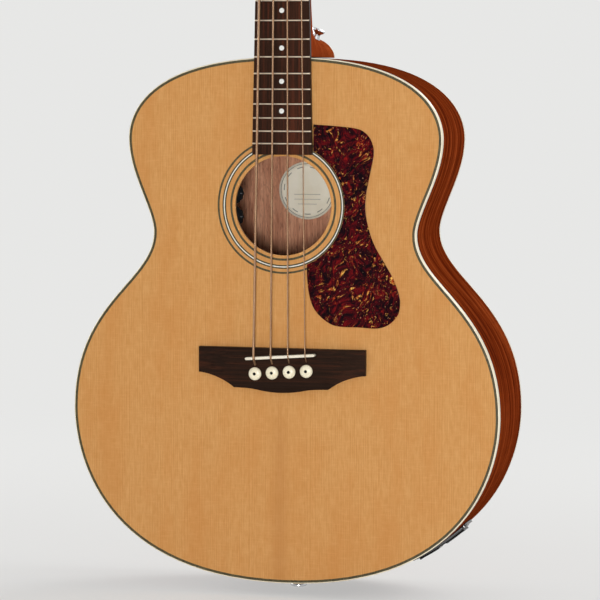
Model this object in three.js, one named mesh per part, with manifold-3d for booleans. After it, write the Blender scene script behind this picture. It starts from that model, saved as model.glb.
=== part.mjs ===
// Acoustic bass guitar with a jumbo body, in millimetres, at real size.
// X runs to the treble side, Z up the neck, and the soundboard faces -Y.
// The origin is the middle of the end pin's outer face. Inside the instrument group, Y is zero on the
// soundboard's front and grows towards the back, and Z is zero on the nominal saddle line.
import * as THREE from "three";
import { mergeVertices } from "three/addons/utils/BufferGeometryUtils.js";
import Module from "manifold-3d";

const wasm = await Module();
wasm.setup();

// Scale and body outline
const scaleLength = 781;
const fretCount = 23;
const bodyFret = 17;
const semitonesPerOctave = 12;
const bodyLength = 526.5;
const upperBout = 322.4;
const waistWidth = 270;
const lowerBout = 439.6;
const upperBoutDrop = 81.2;
const waistDrop = 175.3;
const lowerBoutDrop = 354.8;
const rimDepthAtNeck = 111;
const rimDepthAtTail = 130;
const backArch = 14;
const archCentreShare = 0.52;

// Curve handles of the half outline, as shares of the width or height that each stretch spans
const shoulderShares = [0.985, 0.138];
const upperFlankShares = [0.389, 0.236];
const lowerFlankShares = [0.278, 0.605];
const tailShares = [0.286, 0.871];
const rimSteps = 8;

// Plates, sides, binding, linings and blocks
const fit = 0.3;
const overrun = 5;
const topThickness = 3;
const backThickness = 3;
const sideThickness = 2.2;
const bindingWidth = 1.8;
const topBindingDepth = 6.5;
const backBindingDepth = 4.5;
const liningWidth = 7;
const liningDepth = 15;
const neckBlockWidth = 76;
const neckBlockGap = 6.3;
const tailBlockWidth = 84;
const tailBlockThickness = 20;

// Soundhole, rosette, pickguard and label
const soundholeRadius = 49.3;
const soundholeCentre = 145;
const rosetteInnerRadius = 59;
const rosetteOuterRadius = 62.4;
const rosetteDepth = 1.4;
const roundSteps = 20;
const boreSteps = 12;
const turnedSteps = 14;
const pickguardThickness = 1;
const pickguardInnerRadius = 63;
const pickguardWidth = 95;
const pickguardHeight = 201;
const pickguardFoot = 25;
const pickguardTreble = 119.8;
const pickguardArcSteps = 12;
const labelRadius = 30;
const labelThickness = 0.6;
const labelShift = -5.4;
const labelHeight = 156;
const labelSteps = 16;

// Braces under the soundboard
const braceWidth = 7.5;
const braceHeight = 14;
const braceEndHeight = 4;
const braceTaper = 55;
const crossHeight = 52;
const crossAngle = 48;
const crossUpperReach = 180;
const crossLowerReach = 252;
const upperBraceHeight = 216;
const upperBraceLength = 270;
const toneBarHeight = -82;
const toneBarLength = 196;
const toneBarSlant = 12;
const toneBarTaper = 40;

// Bridge, saddle, pickup strip and bridge pins
const bridgeWidth = 172;
const bridgeTop = 3.4;
const bridgeWingFoot = -22.4;
const bridgeScallopFoot = -36.7;
const bridgeBellyFoot = -40.8;
const bridgeCornerWidth = 97;
const bridgeBellyWidth = 46;
const bridgeWingHeight = 5;
const bridgeHeight = 8;
const bridgeCrownWidth = 104;
const slotSlant = 4.1;
const saddleSet = -4.9;
const saddleLength = 72;
const saddleThickness = 3;
const saddleTop = 13;
const saddleSlotFloor = 2.4;
const saddleCrownSteps = 4;
const bridgeCurveSteps = 5;
const pickupStripHeight = 1.2;
const pinRow = -20.6;
const pinHeadRadius = 6.5;
const pinHeadHeight = 3;
const pinCollarHeight = 0.8;
const pinShaftRadius = 4;
const pinTipRadius = 3.3;
const pinShaftLength = 28;
const plateThickness = 3;
const plateTop = 10;
const plateFoot = -46;
const plateTopWidth = 76;
const plateFootWidth = 150;

// Strings, from the lowest to the highest
const stringDiameters = [2.5, 2, 1.6, 1.15];
const stringSpacingAtSaddle = 17.6;
const stringSpacingAtNut = 10.2;
const stringRampStart = 4;
const stringBendRadius = 2.5;
const stringBendSteps = 2;
const stringSides = 6;
const ballRadius = 3.4;
const ballLength = 7;
const windingTurns = 2.4;
const windingGap = 1;
const windingStepsPerTurn = 24;

// Neck, fretboard, nut and truss rod
const nutWidth = 38;
const boardEndWidth = 61.4;
const boardOverhang = 11;
const boardThickness = 6;
const boardRadius = 400;
const boardArcSteps = 3;
const fretHeight = 1;
const fretWidth = 2.4;
const fretSeat = 1;
const nutThickness = 5;
const nutHeight = 9.2;
const nutSlotFloor = 8;
const neckDepthAtNut = 15.6;
const neckDepthAtBody = 19.5;
const neckRoundness = 2.3;
const neckSideSteps = 12;
const neckRootShare = 0.96;
const heelStart = 6;
const heelLevelPower = 1.5;
const heelSteps = 12;
const heelCapWidth = 50;
const heelCapReach = 20.5;
const heelRootReach = 76;
const heelCapThickness = 2.3;
const heelSweepPower = 3.2;
const heelFlarePower = 1.2;
const heelRoundness = 1.9;
const heelLevels = 8;
const tenonWidth = 18;
const tenonLength = 14;
const tenonTop = 11;
const tenonFoot = 80;
const rodChannelWidth = 6.4;
const rodChannelDepth = 10.4;
const rodStart = 4;
const rodNutRadius = 3.3;
const rodStudRadius = 1.8;
const rodStudLength = 5;
const rodNutLength = 13;
const rodSocketRadius = 2.1;
const rodSocketDepth = 7;
const hexSides = 6;
const rodPocketWidth = 9;
const rodPocketLength = 22;

// Headstock and its cover plate
const headAngle = 12;
const headLength = 184;
const headThickness = 14.5;
const headWidth = 82;
const headShoulder = 36;
const headCrown = 6;
const headCornerRadius = 9;
const headCurveSteps = 6;
const veneerThickness = 1.6;
const rodCoverWidth = 22;
const rodCoverLength = 44;
const rodCoverThickness = 2;
const rodCoverStart = 3;
const rodCoverTaperShare = 0.6;

// Tuners: post, gear, plate, worm shaft and key
const lowerPostHeight = 50;
const upperPostHeight = 120;
const postSpread = 54;
const postRadius = 5;
const postCapRadius = 6;
const postFlangeRadius = 7;
const postFlangeHeight = 2.2;
const postHeight = 20.5;
const postCapHeight = 2.4;
const postSlotWidth = 3;
const postSlotDepth = 5;
const postEndHeight = 1.2;
const postShaftRadius = 4;
const gearTeeth = 16;
const gearRadius = 9.4;
const gearToothDepth = 1.3;
const gearThickness = 4;
const gearClearance = 0.6;
const postChamferShare = 0.15;

// One gear tooth: share of the tooth's turn and of its height
const gearPointShares = [[0, 0], [0.35, 1], [0.65, 1]];
const tunerPlateWidth = 24;
const tunerPlateLength = 32;
const tunerPlateThickness = 1.5;
const tunerPlateDrop = 3.5;
const wormRadius = 2.8;
const wormLength = 11;
const wormShaftRadius = 2;
const earThickness = 2.4;
const earWidth = 8;
const keyStandoff = 5;
const keyLength = 24;
const keyWidth = 27;
const keyThickness = 8;
const keyNeckRadius = 3.4;
const keyWidthShares = [0.3, 0.74, 0.95, 1, 0.97, 0.82, 0.45];
const keyThicknessShares = [0.8, 0.95, 1, 1, 0.92, 0.75, 0.5];
const keySteps = 12;

// Strap button and end pin with its jack socket
const strapButtonDepth = 80;
const strapButtonAngle = 62;
const strapButtonRadius = 7;
const strapButtonWaist = 4;
const strapButtonFoot = 5;
const strapButtonHeight = 11;
const strapButtonLipShare = 0.12;
const endPinDepth = 65;
const endPinProud = 13;
const endPinRadius = 8.5;
const endPinWaist = 6.2;
const endPinFlange = 10;
const endPinRim = 3.2;
const endPinChamfer = 0.8;
const endPinCollar = 1.6;
const jackBarrelRadius = 6;
const jackNutRadius = 9;
const jackNutThickness = 3;
const jackTailLength = 12;
const jackSocketRadius = 3.25;
const jackSocketDepth = 34;

// Preamp with two thumbwheels
const wheelRadius = 11;
const wheelThickness = 4;
const wheelBoreRadius = 1.9;
const wheelAxleRadius = 1.5;
const wheelNotches = 12;
const wheelNotchDepth = 0.7;
const wheelSpread = 23.4;
const wheelShift = -54.6;
const preampInnerFace = -52;
const preampOuterFace = -68;
const preampLength = 49;
const preampDepth = 13;
const wheelClearance = 0.4;

// Battery box, drawer and battery
const batteryPlaceShare = 0.636;
const batteryDepthPlace = 64;
const batteryLength = 48.5;
const batteryWidth = 26.5;
const batteryThickness = 17.5;
const batteryTerminalRadius = 2.8;
const batteryTerminalHeight = 2.4;
const batteryTerminalSpread = 12.7;
const drawerWall = 1.2;
const drawerFace = 2;
const drawerContactSpace = 4;
const boxWall = 1.5;
const boxFlangeWidth = 32;
const boxFlangeLength = 68;
const boxFlangeThickness = 2;

// Looks: colour, roughness and metalness
const looks = {
  spruce: [0xcf9d61, 0.45, 0],
  mahogany: [0x7d3714, 0.4, 0],
  neckWood: [0x9a4e26, 0.45, 0],
  paleWood: [0xc9a777, 0.7, 0],
  rosewood: [0x2d2320, 0.5, 0],
  cream: [0xf0e6cd, 0.4, 0],
  bone: [0xf2ead8, 0.35, 0],
  tortoise: [0x4a1210, 0.2, 0],
  paper: [0xcdc8be, 0.8, 0],
  bronze: [0xb58a62, 0.35, 0.9],
  chrome: [0xd8d8dc, 0.15, 1],
  steel: [0x9a9ca0, 0.35, 1],
  brass: [0xb89a55, 0.3, 1],
  black: [0x151515, 0.5, 0],
  gloss: [0x0e0d0d, 0.15, 0],
};

// Shared shaping helpers

const degrees = Math.PI / 180;
const weld = 1e-4;
const { cos, sin, tan, PI } = Math;

function point(x, y, z) {
  return new THREE.Vector3(x, y, z);
}

function flatPoint(x, z) {
  return new THREE.Vector2(x, z);
}

// A closed geometry as a solid that can be cut and joined
function solidOf(geometry) {
  const bare = geometry.clone();
  bare.deleteAttribute("normal");
  bare.deleteAttribute("uv");
  const merged = mergeVertices(bare, weld);
  return new wasm.Manifold(
    new wasm.Mesh({
      numProp: 3,
      vertProperties: new Float32Array(merged.attributes.position.array),
      triVerts: new Uint32Array(merged.index.array),
    }),
  );
}

function geometryOf(solid) {
  const mesh = solid.getMesh();
  const geometry = new THREE.BufferGeometry();
  geometry.setAttribute("position", new THREE.BufferAttribute(mesh.vertProperties, 3));
  geometry.setIndex(new THREE.BufferAttribute(mesh.triVerts, 1));
  return geometry;
}

function cut(geometry, ...tools) {
  const rest = tools.reduce((solid, tool) => solid.subtract(solidOf(tool)), solidOf(geometry));
  return geometryOf(rest);
}

function meet(geometry, other) {
  return geometryOf(solidOf(geometry).intersect(solidOf(other)));
}

function join(geometry, ...others) {
  const whole = others.reduce((solid, other) => solid.add(solidOf(other)), solidOf(geometry));
  return geometryOf(whole);
}

// The same geometry with its faces turned outwards
function facingOut(geometry) {
  const at = geometry.attributes.position;
  const index = geometry.index.array;
  const [a, b, c] = [point(), point(), point()];
  let volume = 0;
  for (let i = 0; i < index.length; i += 3) {
    a.fromBufferAttribute(at, index[i]);
    b.fromBufferAttribute(at, index[i + 1]);
    c.fromBufferAttribute(at, index[i + 2]);
    volume += a.dot(b.cross(c));
  }
  if (volume < 0) index.reverse();
  return geometry;
}

// Skin over rings of points, closed on itself or with flat ends
function loft(rings, closed = false) {
  const size = rings[0].length;
  const faces = [];
  const last = closed ? rings.length : rings.length - 1;
  for (let r = 0; r < last; r++) {
    const here = r * size;
    const next = ((r + 1) % rings.length) * size;
    for (let i = 0; i < size; i++) {
      const j = (i + 1) % size;
      faces.push(here + i, here + j, next + j, here + i, next + j, next + i);
    }
  }
  if (!closed) {
    const end = (rings.length - 1) * size;
    for (let i = 1; i < size - 1; i++) faces.push(0, i + 1, i, end, end + i, end + i + 1);
  }
  const geometry = new THREE.BufferGeometry().setFromPoints(rings.flat());
  geometry.setIndex(faces);
  return facingOut(geometry);
}

// An X-Z shape extruded backwards from the plane Y = front
function slab(shape, front, thickness, curveSegments = roundSteps) {
  const geometry = new THREE.ExtrudeGeometry(shape, { depth: thickness, bevelEnabled: false, curveSegments });
  geometry.rotateX(PI / 2);
  return geometry.translate(0, front + thickness, 0);
}

function block(width, depth, height, x, y, z) {
  return new THREE.BoxGeometry(width, depth, height).translate(x, y, z);
}

// Block between two corners
function blockBetween(low, high) {
  const size = high.clone().sub(low);
  const middle = low.clone().add(high).multiplyScalar(0.5);
  return block(size.x, size.y, size.z, middle.x, middle.y, middle.z);
}

// Cylinder along Y from one depth to another
function rodAlongY(radius, from, to, x, z, steps = boreSteps) {
  const geometry = new THREE.CylinderGeometry(radius, radius, to - from, steps);
  return geometry.translate(x, (from + to) / 2, z);
}

function rodAlongZ(radius, from, to, x, y, steps = boreSteps) {
  const geometry = new THREE.CylinderGeometry(radius, radius, to - from, steps).rotateX(PI / 2);
  return geometry.translate(x, y, (from + to) / 2);
}

function rodAlongX(radius, from, to, y, z, steps = boreSteps) {
  const geometry = new THREE.CylinderGeometry(radius, radius, Math.abs(to - from), steps).rotateZ(PI / 2);
  return geometry.translate((from + to) / 2, y, z);
}

// A turned piece round the Y axis from pairs of radius and height
function turned(profile, steps = turnedSteps) {
  const spots = profile.map(([radius, height]) => flatPoint(radius, height));
  return facingOut(new THREE.LatheGeometry(spots, steps));
}

function circleShape(radius, x, z) {
  return new THREE.Shape().absarc(x, z, radius, 0, 2 * PI);
}

// A tube through stations, its rings turned as little as possible
function tube(stations, radius, sides) {
  const rings = [];
  let across = point(1, 0, 0);
  stations.forEach((station, i) => {
    const before = stations[Math.max(i - 1, 0)];
    const after = stations[Math.min(i + 1, stations.length - 1)];
    const along = after.clone().sub(before).normalize();
    across = across.clone().addScaledVector(along, -across.dot(along)).normalize();
    const up = along.clone().cross(across);
    const ring = [];
    for (let s = 0; s < sides; s++) {
      const angle = (2 * PI * s) / sides;
      const spot = station.clone().addScaledVector(across, radius * cos(angle));
      ring.push(spot.addScaledVector(up, radius * sin(angle)));
    }
    rings.push(ring);
  });
  return loft(rings);
}

const instrument = new THREE.Group();

function addPart(name, geometry, look, parent = instrument) {
  const [color, roughness, metalness] = looks[look];
  const mesh = new THREE.Mesh(geometry, new THREE.MeshStandardMaterial({ color, roughness, metalness }));
  mesh.name = name;
  parent.add(mesh);
  return mesh;
}

// Body outline and rim

const fretPlace = (number) => scaleLength / 2 ** (number / semitonesPerOctave);
const bodyTop = fretPlace(bodyFret);
const bodyBottom = bodyTop - bodyLength;
const archCentre = bodyBottom + bodyLength * archCentreShare;

function rimDepth(z) {
  return rimDepthAtNeck + ((rimDepthAtTail - rimDepthAtNeck) * (bodyTop - z)) / bodyLength;
}

// The four curves of the treble half, from the neck end down to the tail
function halfOutline() {
  const top = flatPoint(0, bodyTop);
  const upper = flatPoint(upperBout / 2, bodyTop - upperBoutDrop);
  const middle = flatPoint(waistWidth / 2, bodyTop - waistDrop);
  const lower = flatPoint(lowerBout / 2, bodyTop - lowerBoutDrop);
  const tail = flatPoint(0, bodyBottom);
  const offset = (from, x, z) => flatPoint(from.x + x, from.y + z);
  const bend = (from, fromHandle, toHandle, to) => new THREE.CubicBezierCurve(from, fromHandle, toHandle, to);
  const flank = (from, to, [start, end]) => {
    const fall = from.y - to.y;
    return bend(from, offset(from, 0, -start * fall), offset(to, 0, end * fall), to);
  };
  const rise = top.y - upper.y;
  const tailFall = lower.y - tail.y;
  return [
    bend(top, offset(top, shoulderShares[0] * upper.x, 0), offset(upper, 0, shoulderShares[1] * rise), upper),
    flank(upper, middle, upperFlankShares),
    flank(middle, lower, lowerFlankShares),
    bend(lower, offset(lower, 0, -tailShares[0] * tailFall), offset(tail, tailShares[1] * lower.x, 0), tail),
  ];
}

const outlineCurves = halfOutline();

function stationOn(curve, share) {
  const tangent = curve.getTangent(share);
  return { spot: curve.getPoint(share), normal: flatPoint(-tangent.y, tangent.x) };
}

// Stations of one half of the rim, from the neck end to the tail
function halfRim(side) {
  const stations = outlineCurves.flatMap((curve, c) => {
    const first = c === 0 ? 0 : 1;
    return Array.from({ length: rimSteps + 1 - first }, (_, i) => stationOn(curve, (i + first) / rimSteps));
  });
  return stations.map(({ spot, normal }) => ({
    spot: flatPoint(side * spot.x, spot.y),
    normal: flatPoint(side * normal.x, normal.y),
  }));
}

const wholeRim = [...halfRim(1), ...halfRim(-1).slice(1, -1).reverse()];

function inset({ spot, normal }, distance) {
  return spot.clone().addScaledVector(normal, -distance);
}

// A band that follows the rim between two insets and two depths
function band(stations, closed, outer, inner, front, back) {
  const rings = stations.map((station) => {
    const out = inset(station, outer);
    const within = inset(station, inner);
    return [
      point(out.x, front(out.y), out.y),
      point(within.x, front(within.y), within.y),
      point(within.x, back(within.y), within.y),
      point(out.x, back(out.y), out.y),
    ];
  });
  return loft(rings, closed);
}

function insetShape(distance) {
  return new THREE.Shape(wholeRim.map((station) => inset(station, distance)));
}

// Strings' routes: each is one cord from its ball to the last turn round its post

const stringCount = stringDiameters.length;
const slant = tan(slotSlant * degrees);
const stringOffset = (i) => i - (stringCount - 1) / 2;
const stringAtSaddle = (i) => stringOffset(i) * stringSpacingAtSaddle;
const stringAtNut = (i) => stringOffset(i) * stringSpacingAtNut;
const pinSpot = (i) => flatPoint(stringAtSaddle(i), pinRow + stringAtSaddle(i) * slant);
const nutFoot = scaleLength + fit;
const headFoot = nutFoot + nutThickness + fit;
const plateBack = topThickness + fit + plateThickness;

const head = new THREE.Group();
head.position.set(0, 0, headFoot);
head.rotation.x = -headAngle * degrees;
head.updateMatrix();
const intoHead = head.matrix.clone().invert();

// Outer strings run to the lower posts and inner strings to the upper ones
function postSpot(i) {
  const isOuter = i === 0 || i === stringCount - 1;
  const side = Math.sign(stringOffset(i));
  return flatPoint((side * postSpread) / 2, isOuter ? lowerPostHeight : upperPostHeight);
}

function roundedCorner(before, corner, after, radius, steps) {
  const start = corner.clone().add(before.clone().sub(corner).setLength(radius));
  const end = corner.clone().add(after.clone().sub(corner).setLength(radius));
  return new THREE.QuadraticBezierCurve3(start, corner, end).getPoints(steps);
}

function windingStations(i, nutPoint) {
  const radius = stringDiameters[i] / 2;
  const turnRadius = postRadius + fit + radius;
  const centre = postSpot(i);
  const side = Math.sign(centre.x);
  const from = flatPoint(nutPoint.x - centre.x, nutPoint.z - centre.y);
  const reach = Math.acos(turnRadius / from.length());
  const startAngle = Math.atan2(from.y, from.x) - side * reach;
  const startDepth = -(3 * fit + veneerThickness + postFlangeHeight + radius);
  const pitch = 2 * radius + windingGap;
  const steps = Math.round(windingTurns * windingStepsPerTurn);
  return Array.from({ length: steps + 1 }, (_, step) => {
    const turns = step / windingStepsPerTurn;
    const angle = startAngle - side * turns * 2 * PI;
    const across = turnRadius * cos(angle);
    const up = turnRadius * sin(angle);
    return point(centre.x + across, startDepth - pitch * turns, centre.y + up);
  });
}

function stringStations(i) {
  const radius = stringDiameters[i] / 2;
  const pin = pinSpot(i);
  const rise = pin.y + pinShaftRadius + fit + radius;
  const ball = point(pin.x, plateBack + fit + ballRadius, rise);
  const ramp = point(pin.x, -stringRampStart, rise);
  const saddle = point(pin.x, -(saddleTop + fit + radius), saddleSet + pin.x * slant);
  const nut = point(stringAtNut(i), -(nutSlotFloor + fit + radius), nutFoot + nutThickness / 2);
  const winding = windingStations(i, nut.clone().applyMatrix4(intoHead));
  const onPost = winding.map((spot) => spot.applyMatrix4(head.matrix));
  return [
    ball,
    ...roundedCorner(ball, ramp, saddle, stringBendRadius, stringBendSteps),
    ...roundedCorner(ramp, saddle, nut, stringBendRadius, stringBendSteps),
    ...roundedCorner(saddle, nut, onPost[0], stringBendRadius, stringBendSteps),
    ...onPost,
  ];
}

// Least gap between turns of a winding, measured between points over half a turn apart
function windingGapOf(i) {
  const stations = stringStations(i).slice(-(Math.round(windingTurns * windingStepsPerTurn) + 1));
  let least = Infinity;
  stations.forEach((a, m) => {
    stations.slice(m + windingStepsPerTurn / 2).forEach((b) => {
      least = Math.min(least, a.distanceTo(b));
    });
  });
  return least - stringDiameters[i];
}

const stringRoutes = stringDiameters.map((_, i) => stringStations(i));

// Room for each string from its ball to its post, to be cut out of what it passes through
function stringClearances() {
  const windingStep = Math.round(windingTurns * windingStepsPerTurn);
  return stringRoutes.map((route, i) =>
    tube(route.slice(0, route.length - windingStep), stringDiameters[i] / 2 + fit, stringSides),
  );
}
const pinHoles = (radius, from, to) =>
  stringDiameters.map((_, i) => rodAlongY(radius, from, to, pinSpot(i).x, pinSpot(i).y));

// Soundboard: a spruce plate inside the binding, with its soundhole, rosette channel and pin holes
function soundboard() {
  const shape = insetShape(bindingWidth + fit);
  shape.holes.push(circleShape(soundholeRadius, 0, soundholeCentre));
  const channelShape = circleShape(rosetteOuterRadius + fit, 0, soundholeCentre);
  channelShape.holes.push(circleShape(rosetteInnerRadius - fit, 0, soundholeCentre));
  const channel = slab(channelShape, -overrun, overrun + rosetteDepth + fit, roundSteps);
  const holes = pinHoles(pinShaftRadius + fit, -overrun, topThickness + overrun);
  return cut(slab(shape, 0, topThickness, roundSteps), channel, ...holes, ...stringClearances());
}

// Rosette: a ring let into the soundboard round the hole
function rosette() {
  const shape = circleShape(rosetteOuterRadius, 0, soundholeCentre);
  shape.holes.push(circleShape(rosetteInnerRadius, 0, soundholeCentre));
  return slab(shape, 0, rosetteDepth, roundSteps);
}

// Back: a pressed plate, arched inwards from a flat rim that slants with the sides
const archLevelShares = [1, 0.75, 0.5, 0.25];

function backSurface(offset) {
  return archLevelShares.map((share) =>
    wholeRim.map((station) => {
      const edge = inset(station, bindingWidth + fit);
      const x = edge.x * share;
      const z = archCentre + (edge.y - archCentre) * share;
      return point(x, rimDepth(z) + backArch * (1 - share * share) - offset, z);
    }),
  );
}

function back() {
  const inner = backSurface(backThickness).reverse();
  const outer = backSurface(0);
  return loft([...inner, ...outer]);
}

// Share of the way from the arch's centre to the plate's edge at which a spot lies
function archShare(spot) {
  const centre = flatPoint(0, archCentre);
  const from = spot.clone().sub(centre);
  const edge = wholeRim.map((station) => inset(station, bindingWidth + fit).sub(centre));
  const shares = edge.map((a, i) => {
    const run = edge[(i + 1) % edge.length].clone().sub(a);
    const share = from.cross(run) / a.cross(run);
    const along = from.clone().divideScalar(share).sub(a).dot(run) / run.lengthSq();
    return share > 0 && along >= 0 && along <= 1 ? share : Infinity;
  });
  return Math.min(...shares);
}

// Depth of the back's inner face, which is straight between the arch's levels
function backInnerFace(spot) {
  const share = archShare(spot);
  const height = (level) => 1 - level * level;
  const above = archLevelShares.filter((level) => level >= share).pop();
  const below = archLevelShares.find((level) => level < share) ?? above;
  const blend = above === below ? 0 : (share - below) / (above - below);
  const rise = height(below) + blend * (height(above) - height(below));
  return rimDepth(spot.y) + backArch * rise - backThickness;
}

// Label: a round paper that follows the back's inner face
const labelRingShares = [1, 0.55, 0.1];

function label() {
  const face = (offset) =>
    labelRingShares.map((share) =>
      Array.from({ length: labelSteps }, (_, i) => {
        const angle = (2 * PI * i) / labelSteps;
        const reach = share * labelRadius;
        const spot = flatPoint(labelShift + reach * cos(angle), labelHeight + reach * sin(angle));
        return point(spot.x, backInnerFace(spot) - offset, spot.y);
      }),
    );
  return loft([...face(fit).reverse(), ...face(fit + labelThickness)]);
}

// A shape drawn in Z and Y, extruded along X about the centre line
function alongX(shape, width, curveSegments = 1) {
  const geometry = new THREE.ExtrudeGeometry(shape, { depth: width, bevelEnabled: false, curveSegments });
  const turn = new THREE.Matrix4().makeBasis(point(0, 0, 1), point(0, 1, 0), point(-1, 0, 0));
  return geometry.applyMatrix4(turn).translate(width / 2, 0, 0);
}

// Blocks at the neck and the tail, shaped to the sides' inner face
function fittedBlock(shape, width) {
  const room = insetShape(sideThickness + fit);
  return meet(alongX(shape, width), slab(room, 0, rimDepthAtTail));
}

const blockFront = topThickness + fit;
const blockRear = (z) => rimDepth(z) - backThickness - fit;

function neckBlock() {
  const foot = upperBraceHeight + braceWidth / 2 + neckBlockGap;
  const shape = new THREE.Shape();
  shape.moveTo(foot, blockFront);
  shape.lineTo(bodyTop, blockFront);
  shape.lineTo(bodyTop, blockRear(bodyTop));
  shape.lineTo(foot, blockRear(foot));
  return cut(fittedBlock(shape, neckBlockWidth), tenon(fit));
}

function tailBlock() {
  const top = bodyBottom + sideThickness + fit + tailBlockThickness;
  const shape = new THREE.Shape();
  shape.moveTo(bodyBottom, blockFront);
  shape.lineTo(bodyBottom, blockRear(bodyBottom));
  shape.lineTo(top, blockRear(top));
  shape.lineTo(top, blockFront);
  const bore = rodAlongZ(jackBarrelRadius + fit, bodyBottom - overrun, top + overrun, 0, endPinDepth);
  return cut(fittedBlock(shape, tailBlockWidth), bore);
}

// One side of the body, from the neck's tenon to the tail seam
function bodySide(side) {
  const front = () => topBindingDepth + fit;
  const rear = (z) => rimDepth(z) - backBindingDepth - fit;
  const strip = band(halfRim(side), false, 0, sideThickness, front, rear);
  const seam = fit / 2;
  const seamCut = blockBetween(
    point(-seam, -overrun, bodyBottom - overrun),
    point(seam, rimDepthAtTail + overrun, bodyTop + overrun),
  );
  const low = bodyBottom - overrun;
  const pinHole = rodAlongZ(jackBarrelRadius + fit, low, bodyBottom + overrun, 0, endPinDepth);
  const tools = [tenon(fit), seamCut, pinHole];
  if (side > 0) tools.push(batteryHole());
  return cut(strip, ...tools);
}

// Linings: strips glued inside the sides' edges, between the two blocks
function lining(side, front, rear) {
  const outer = sideThickness + fit;
  const strip = band(halfRim(side), false, outer, outer + liningWidth, front, rear);
  const gate = (width, low, high) =>
    blockBetween(
      point(-width / 2 - fit, -overrun, low),
      point(width / 2 + fit, rimDepthAtTail + overrun, high),
    );
  return cut(
    strip,
    gate(neckBlockWidth, archCentre, bodyTop + overrun),
    gate(tailBlockWidth, bodyBottom - overrun, archCentre),
  );
}

function addBody() {
  addPart("soundboard", soundboard(), "spruce");
  addPart("rosette", rosette(), "cream");
  addPart("back", back(), "mahogany");
  addPart("neck_block", neckBlock(), "paleWood");
  addPart("tail_block", tailBlock(), "paleWood");
  const whole = [wholeRim, true, 0, bindingWidth];
  addPart("top_binding", band(...whole, () => 0, () => topBindingDepth), "cream");
  const backEdge = (z) => rimDepth(z) - backBindingDepth;
  addPart("back_binding", band(...whole, backEdge, rimDepth), "cream");
  const topFront = () => topThickness + fit;
  const topRear = () => topThickness + fit + liningDepth;
  const backRear = (z) => rimDepth(z) - backThickness - fit;
  const backFront = (z) => rimDepth(z) - backThickness - fit - liningDepth;
  for (const [name, side] of [["bass", -1], ["treble", 1]]) {
    addPart(`side_${name}`, bodySide(side), "mahogany");
    addPart(`lining_top_${name}`, lining(side, topFront, topRear), "paleWood");
    addPart(`lining_back_${name}`, lining(side, backFront, backRear), "paleWood");
  }
}

// Braces: tapered bars under the soundboard, the two of the cross half-lapped, their ends kept clear
// of the linings
function bar(lower, upper, taper) {
  const shape = new THREE.Shape();
  shape.moveTo(-lower, 0);
  shape.lineTo(-lower, braceEndHeight);
  shape.lineTo(taper - lower, braceHeight);
  shape.lineTo(upper - taper, braceHeight);
  shape.lineTo(upper, braceEndHeight);
  shape.lineTo(upper, 0);
  return alongX(shape, braceWidth).translate(0, topThickness + fit, 0);
}

function turnedBar(geometry, angle, x, z) {
  return geometry.rotateY(angle * degrees).translate(x, 0, z);
}

function insideLinings(geometry) {
  const room = insetShape(sideThickness + liningWidth + 2 * fit);
  return meet(geometry, slab(room, 0, rimDepthAtNeck));
}

function addBraces() {
  const middle = topThickness + fit + braceHeight / 2;
  const lapWidth = braceWidth + 2 * fit;
  const lap = (from, to, angle) => {
    const low = point(-lapWidth / 2, from, -braceTaper);
    const high = point(lapWidth / 2, to, braceTaper);
    return turnedBar(blockBetween(low, high), angle, 0, crossHeight);
  };
  const leg = () => bar(crossLowerReach, crossUpperReach, braceTaper);
  const cross = (angle) => turnedBar(leg(), angle, 0, crossHeight);
  const rear = topThickness + fit + braceHeight + overrun;
  const bassLeg = cut(cross(crossAngle), lap(middle - fit / 2, rear, -crossAngle));
  const trebleLeg = cut(cross(-crossAngle), lap(-overrun, middle + fit / 2, crossAngle));
  addPart("x_brace_bass", insideLinings(bassLeg), "paleWood");
  addPart("x_brace_treble", insideLinings(trebleLeg), "paleWood");
  const upperHalf = upperBraceLength / 2;
  const upperBar = bar(upperHalf, upperHalf, braceTaper);
  addPart("upper_brace", insideLinings(turnedBar(upperBar, 90, 0, upperBraceHeight)), "paleWood");
  const toneHalf = toneBarLength / 2;
  const toneBar = bar(toneHalf, toneHalf, toneBarTaper);
  addPart("tone_bar", insideLinings(turnedBar(toneBar, 90 - toneBarSlant, 0, toneBarHeight)), "paleWood");
  const plate = new THREE.Shape();
  plate.moveTo(-plateFootWidth / 2, plateFoot);
  plate.lineTo(plateFootWidth / 2, plateFoot);
  plate.lineTo(plateTopWidth / 2, plateTop);
  plate.lineTo(-plateTopWidth / 2, plateTop);
  const holes = pinHoles(pinShaftRadius + fit, 0, plateBack + overrun);
  const bare = slab(plate, topThickness + fit, plateThickness);
  addPart("bridge_plate", cut(bare, ...holes, ...stringClearances()), "paleWood");
}

// Bridge: a block with thinner wings, a scalloped lower edge and a rounded belly
function bridgeOutline() {
  const half = bridgeWidth / 2;
  const corner = bridgeCornerWidth / 2;
  const belly = bridgeBellyWidth / 2;
  const bellyStart = (bridgeScallopFoot + bridgeBellyFoot) / 2;
  const shape = new THREE.Shape();
  shape.moveTo(-half, bridgeTop);
  shape.lineTo(-half, bridgeWingFoot);
  shape.quadraticCurveTo(-(half + corner) / 2, bridgeWingFoot, -corner, bridgeScallopFoot);
  shape.quadraticCurveTo(-(corner + belly) / 2, bridgeScallopFoot, -belly, bellyStart);
  shape.quadraticCurveTo(0, 2 * bridgeBellyFoot - bellyStart, belly, bellyStart);
  shape.quadraticCurveTo((corner + belly) / 2, bridgeScallopFoot, corner, bridgeScallopFoot);
  shape.quadraticCurveTo((half + corner) / 2, bridgeWingFoot, half, bridgeWingFoot);
  shape.lineTo(half, bridgeTop);
  return shape;
}

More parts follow.
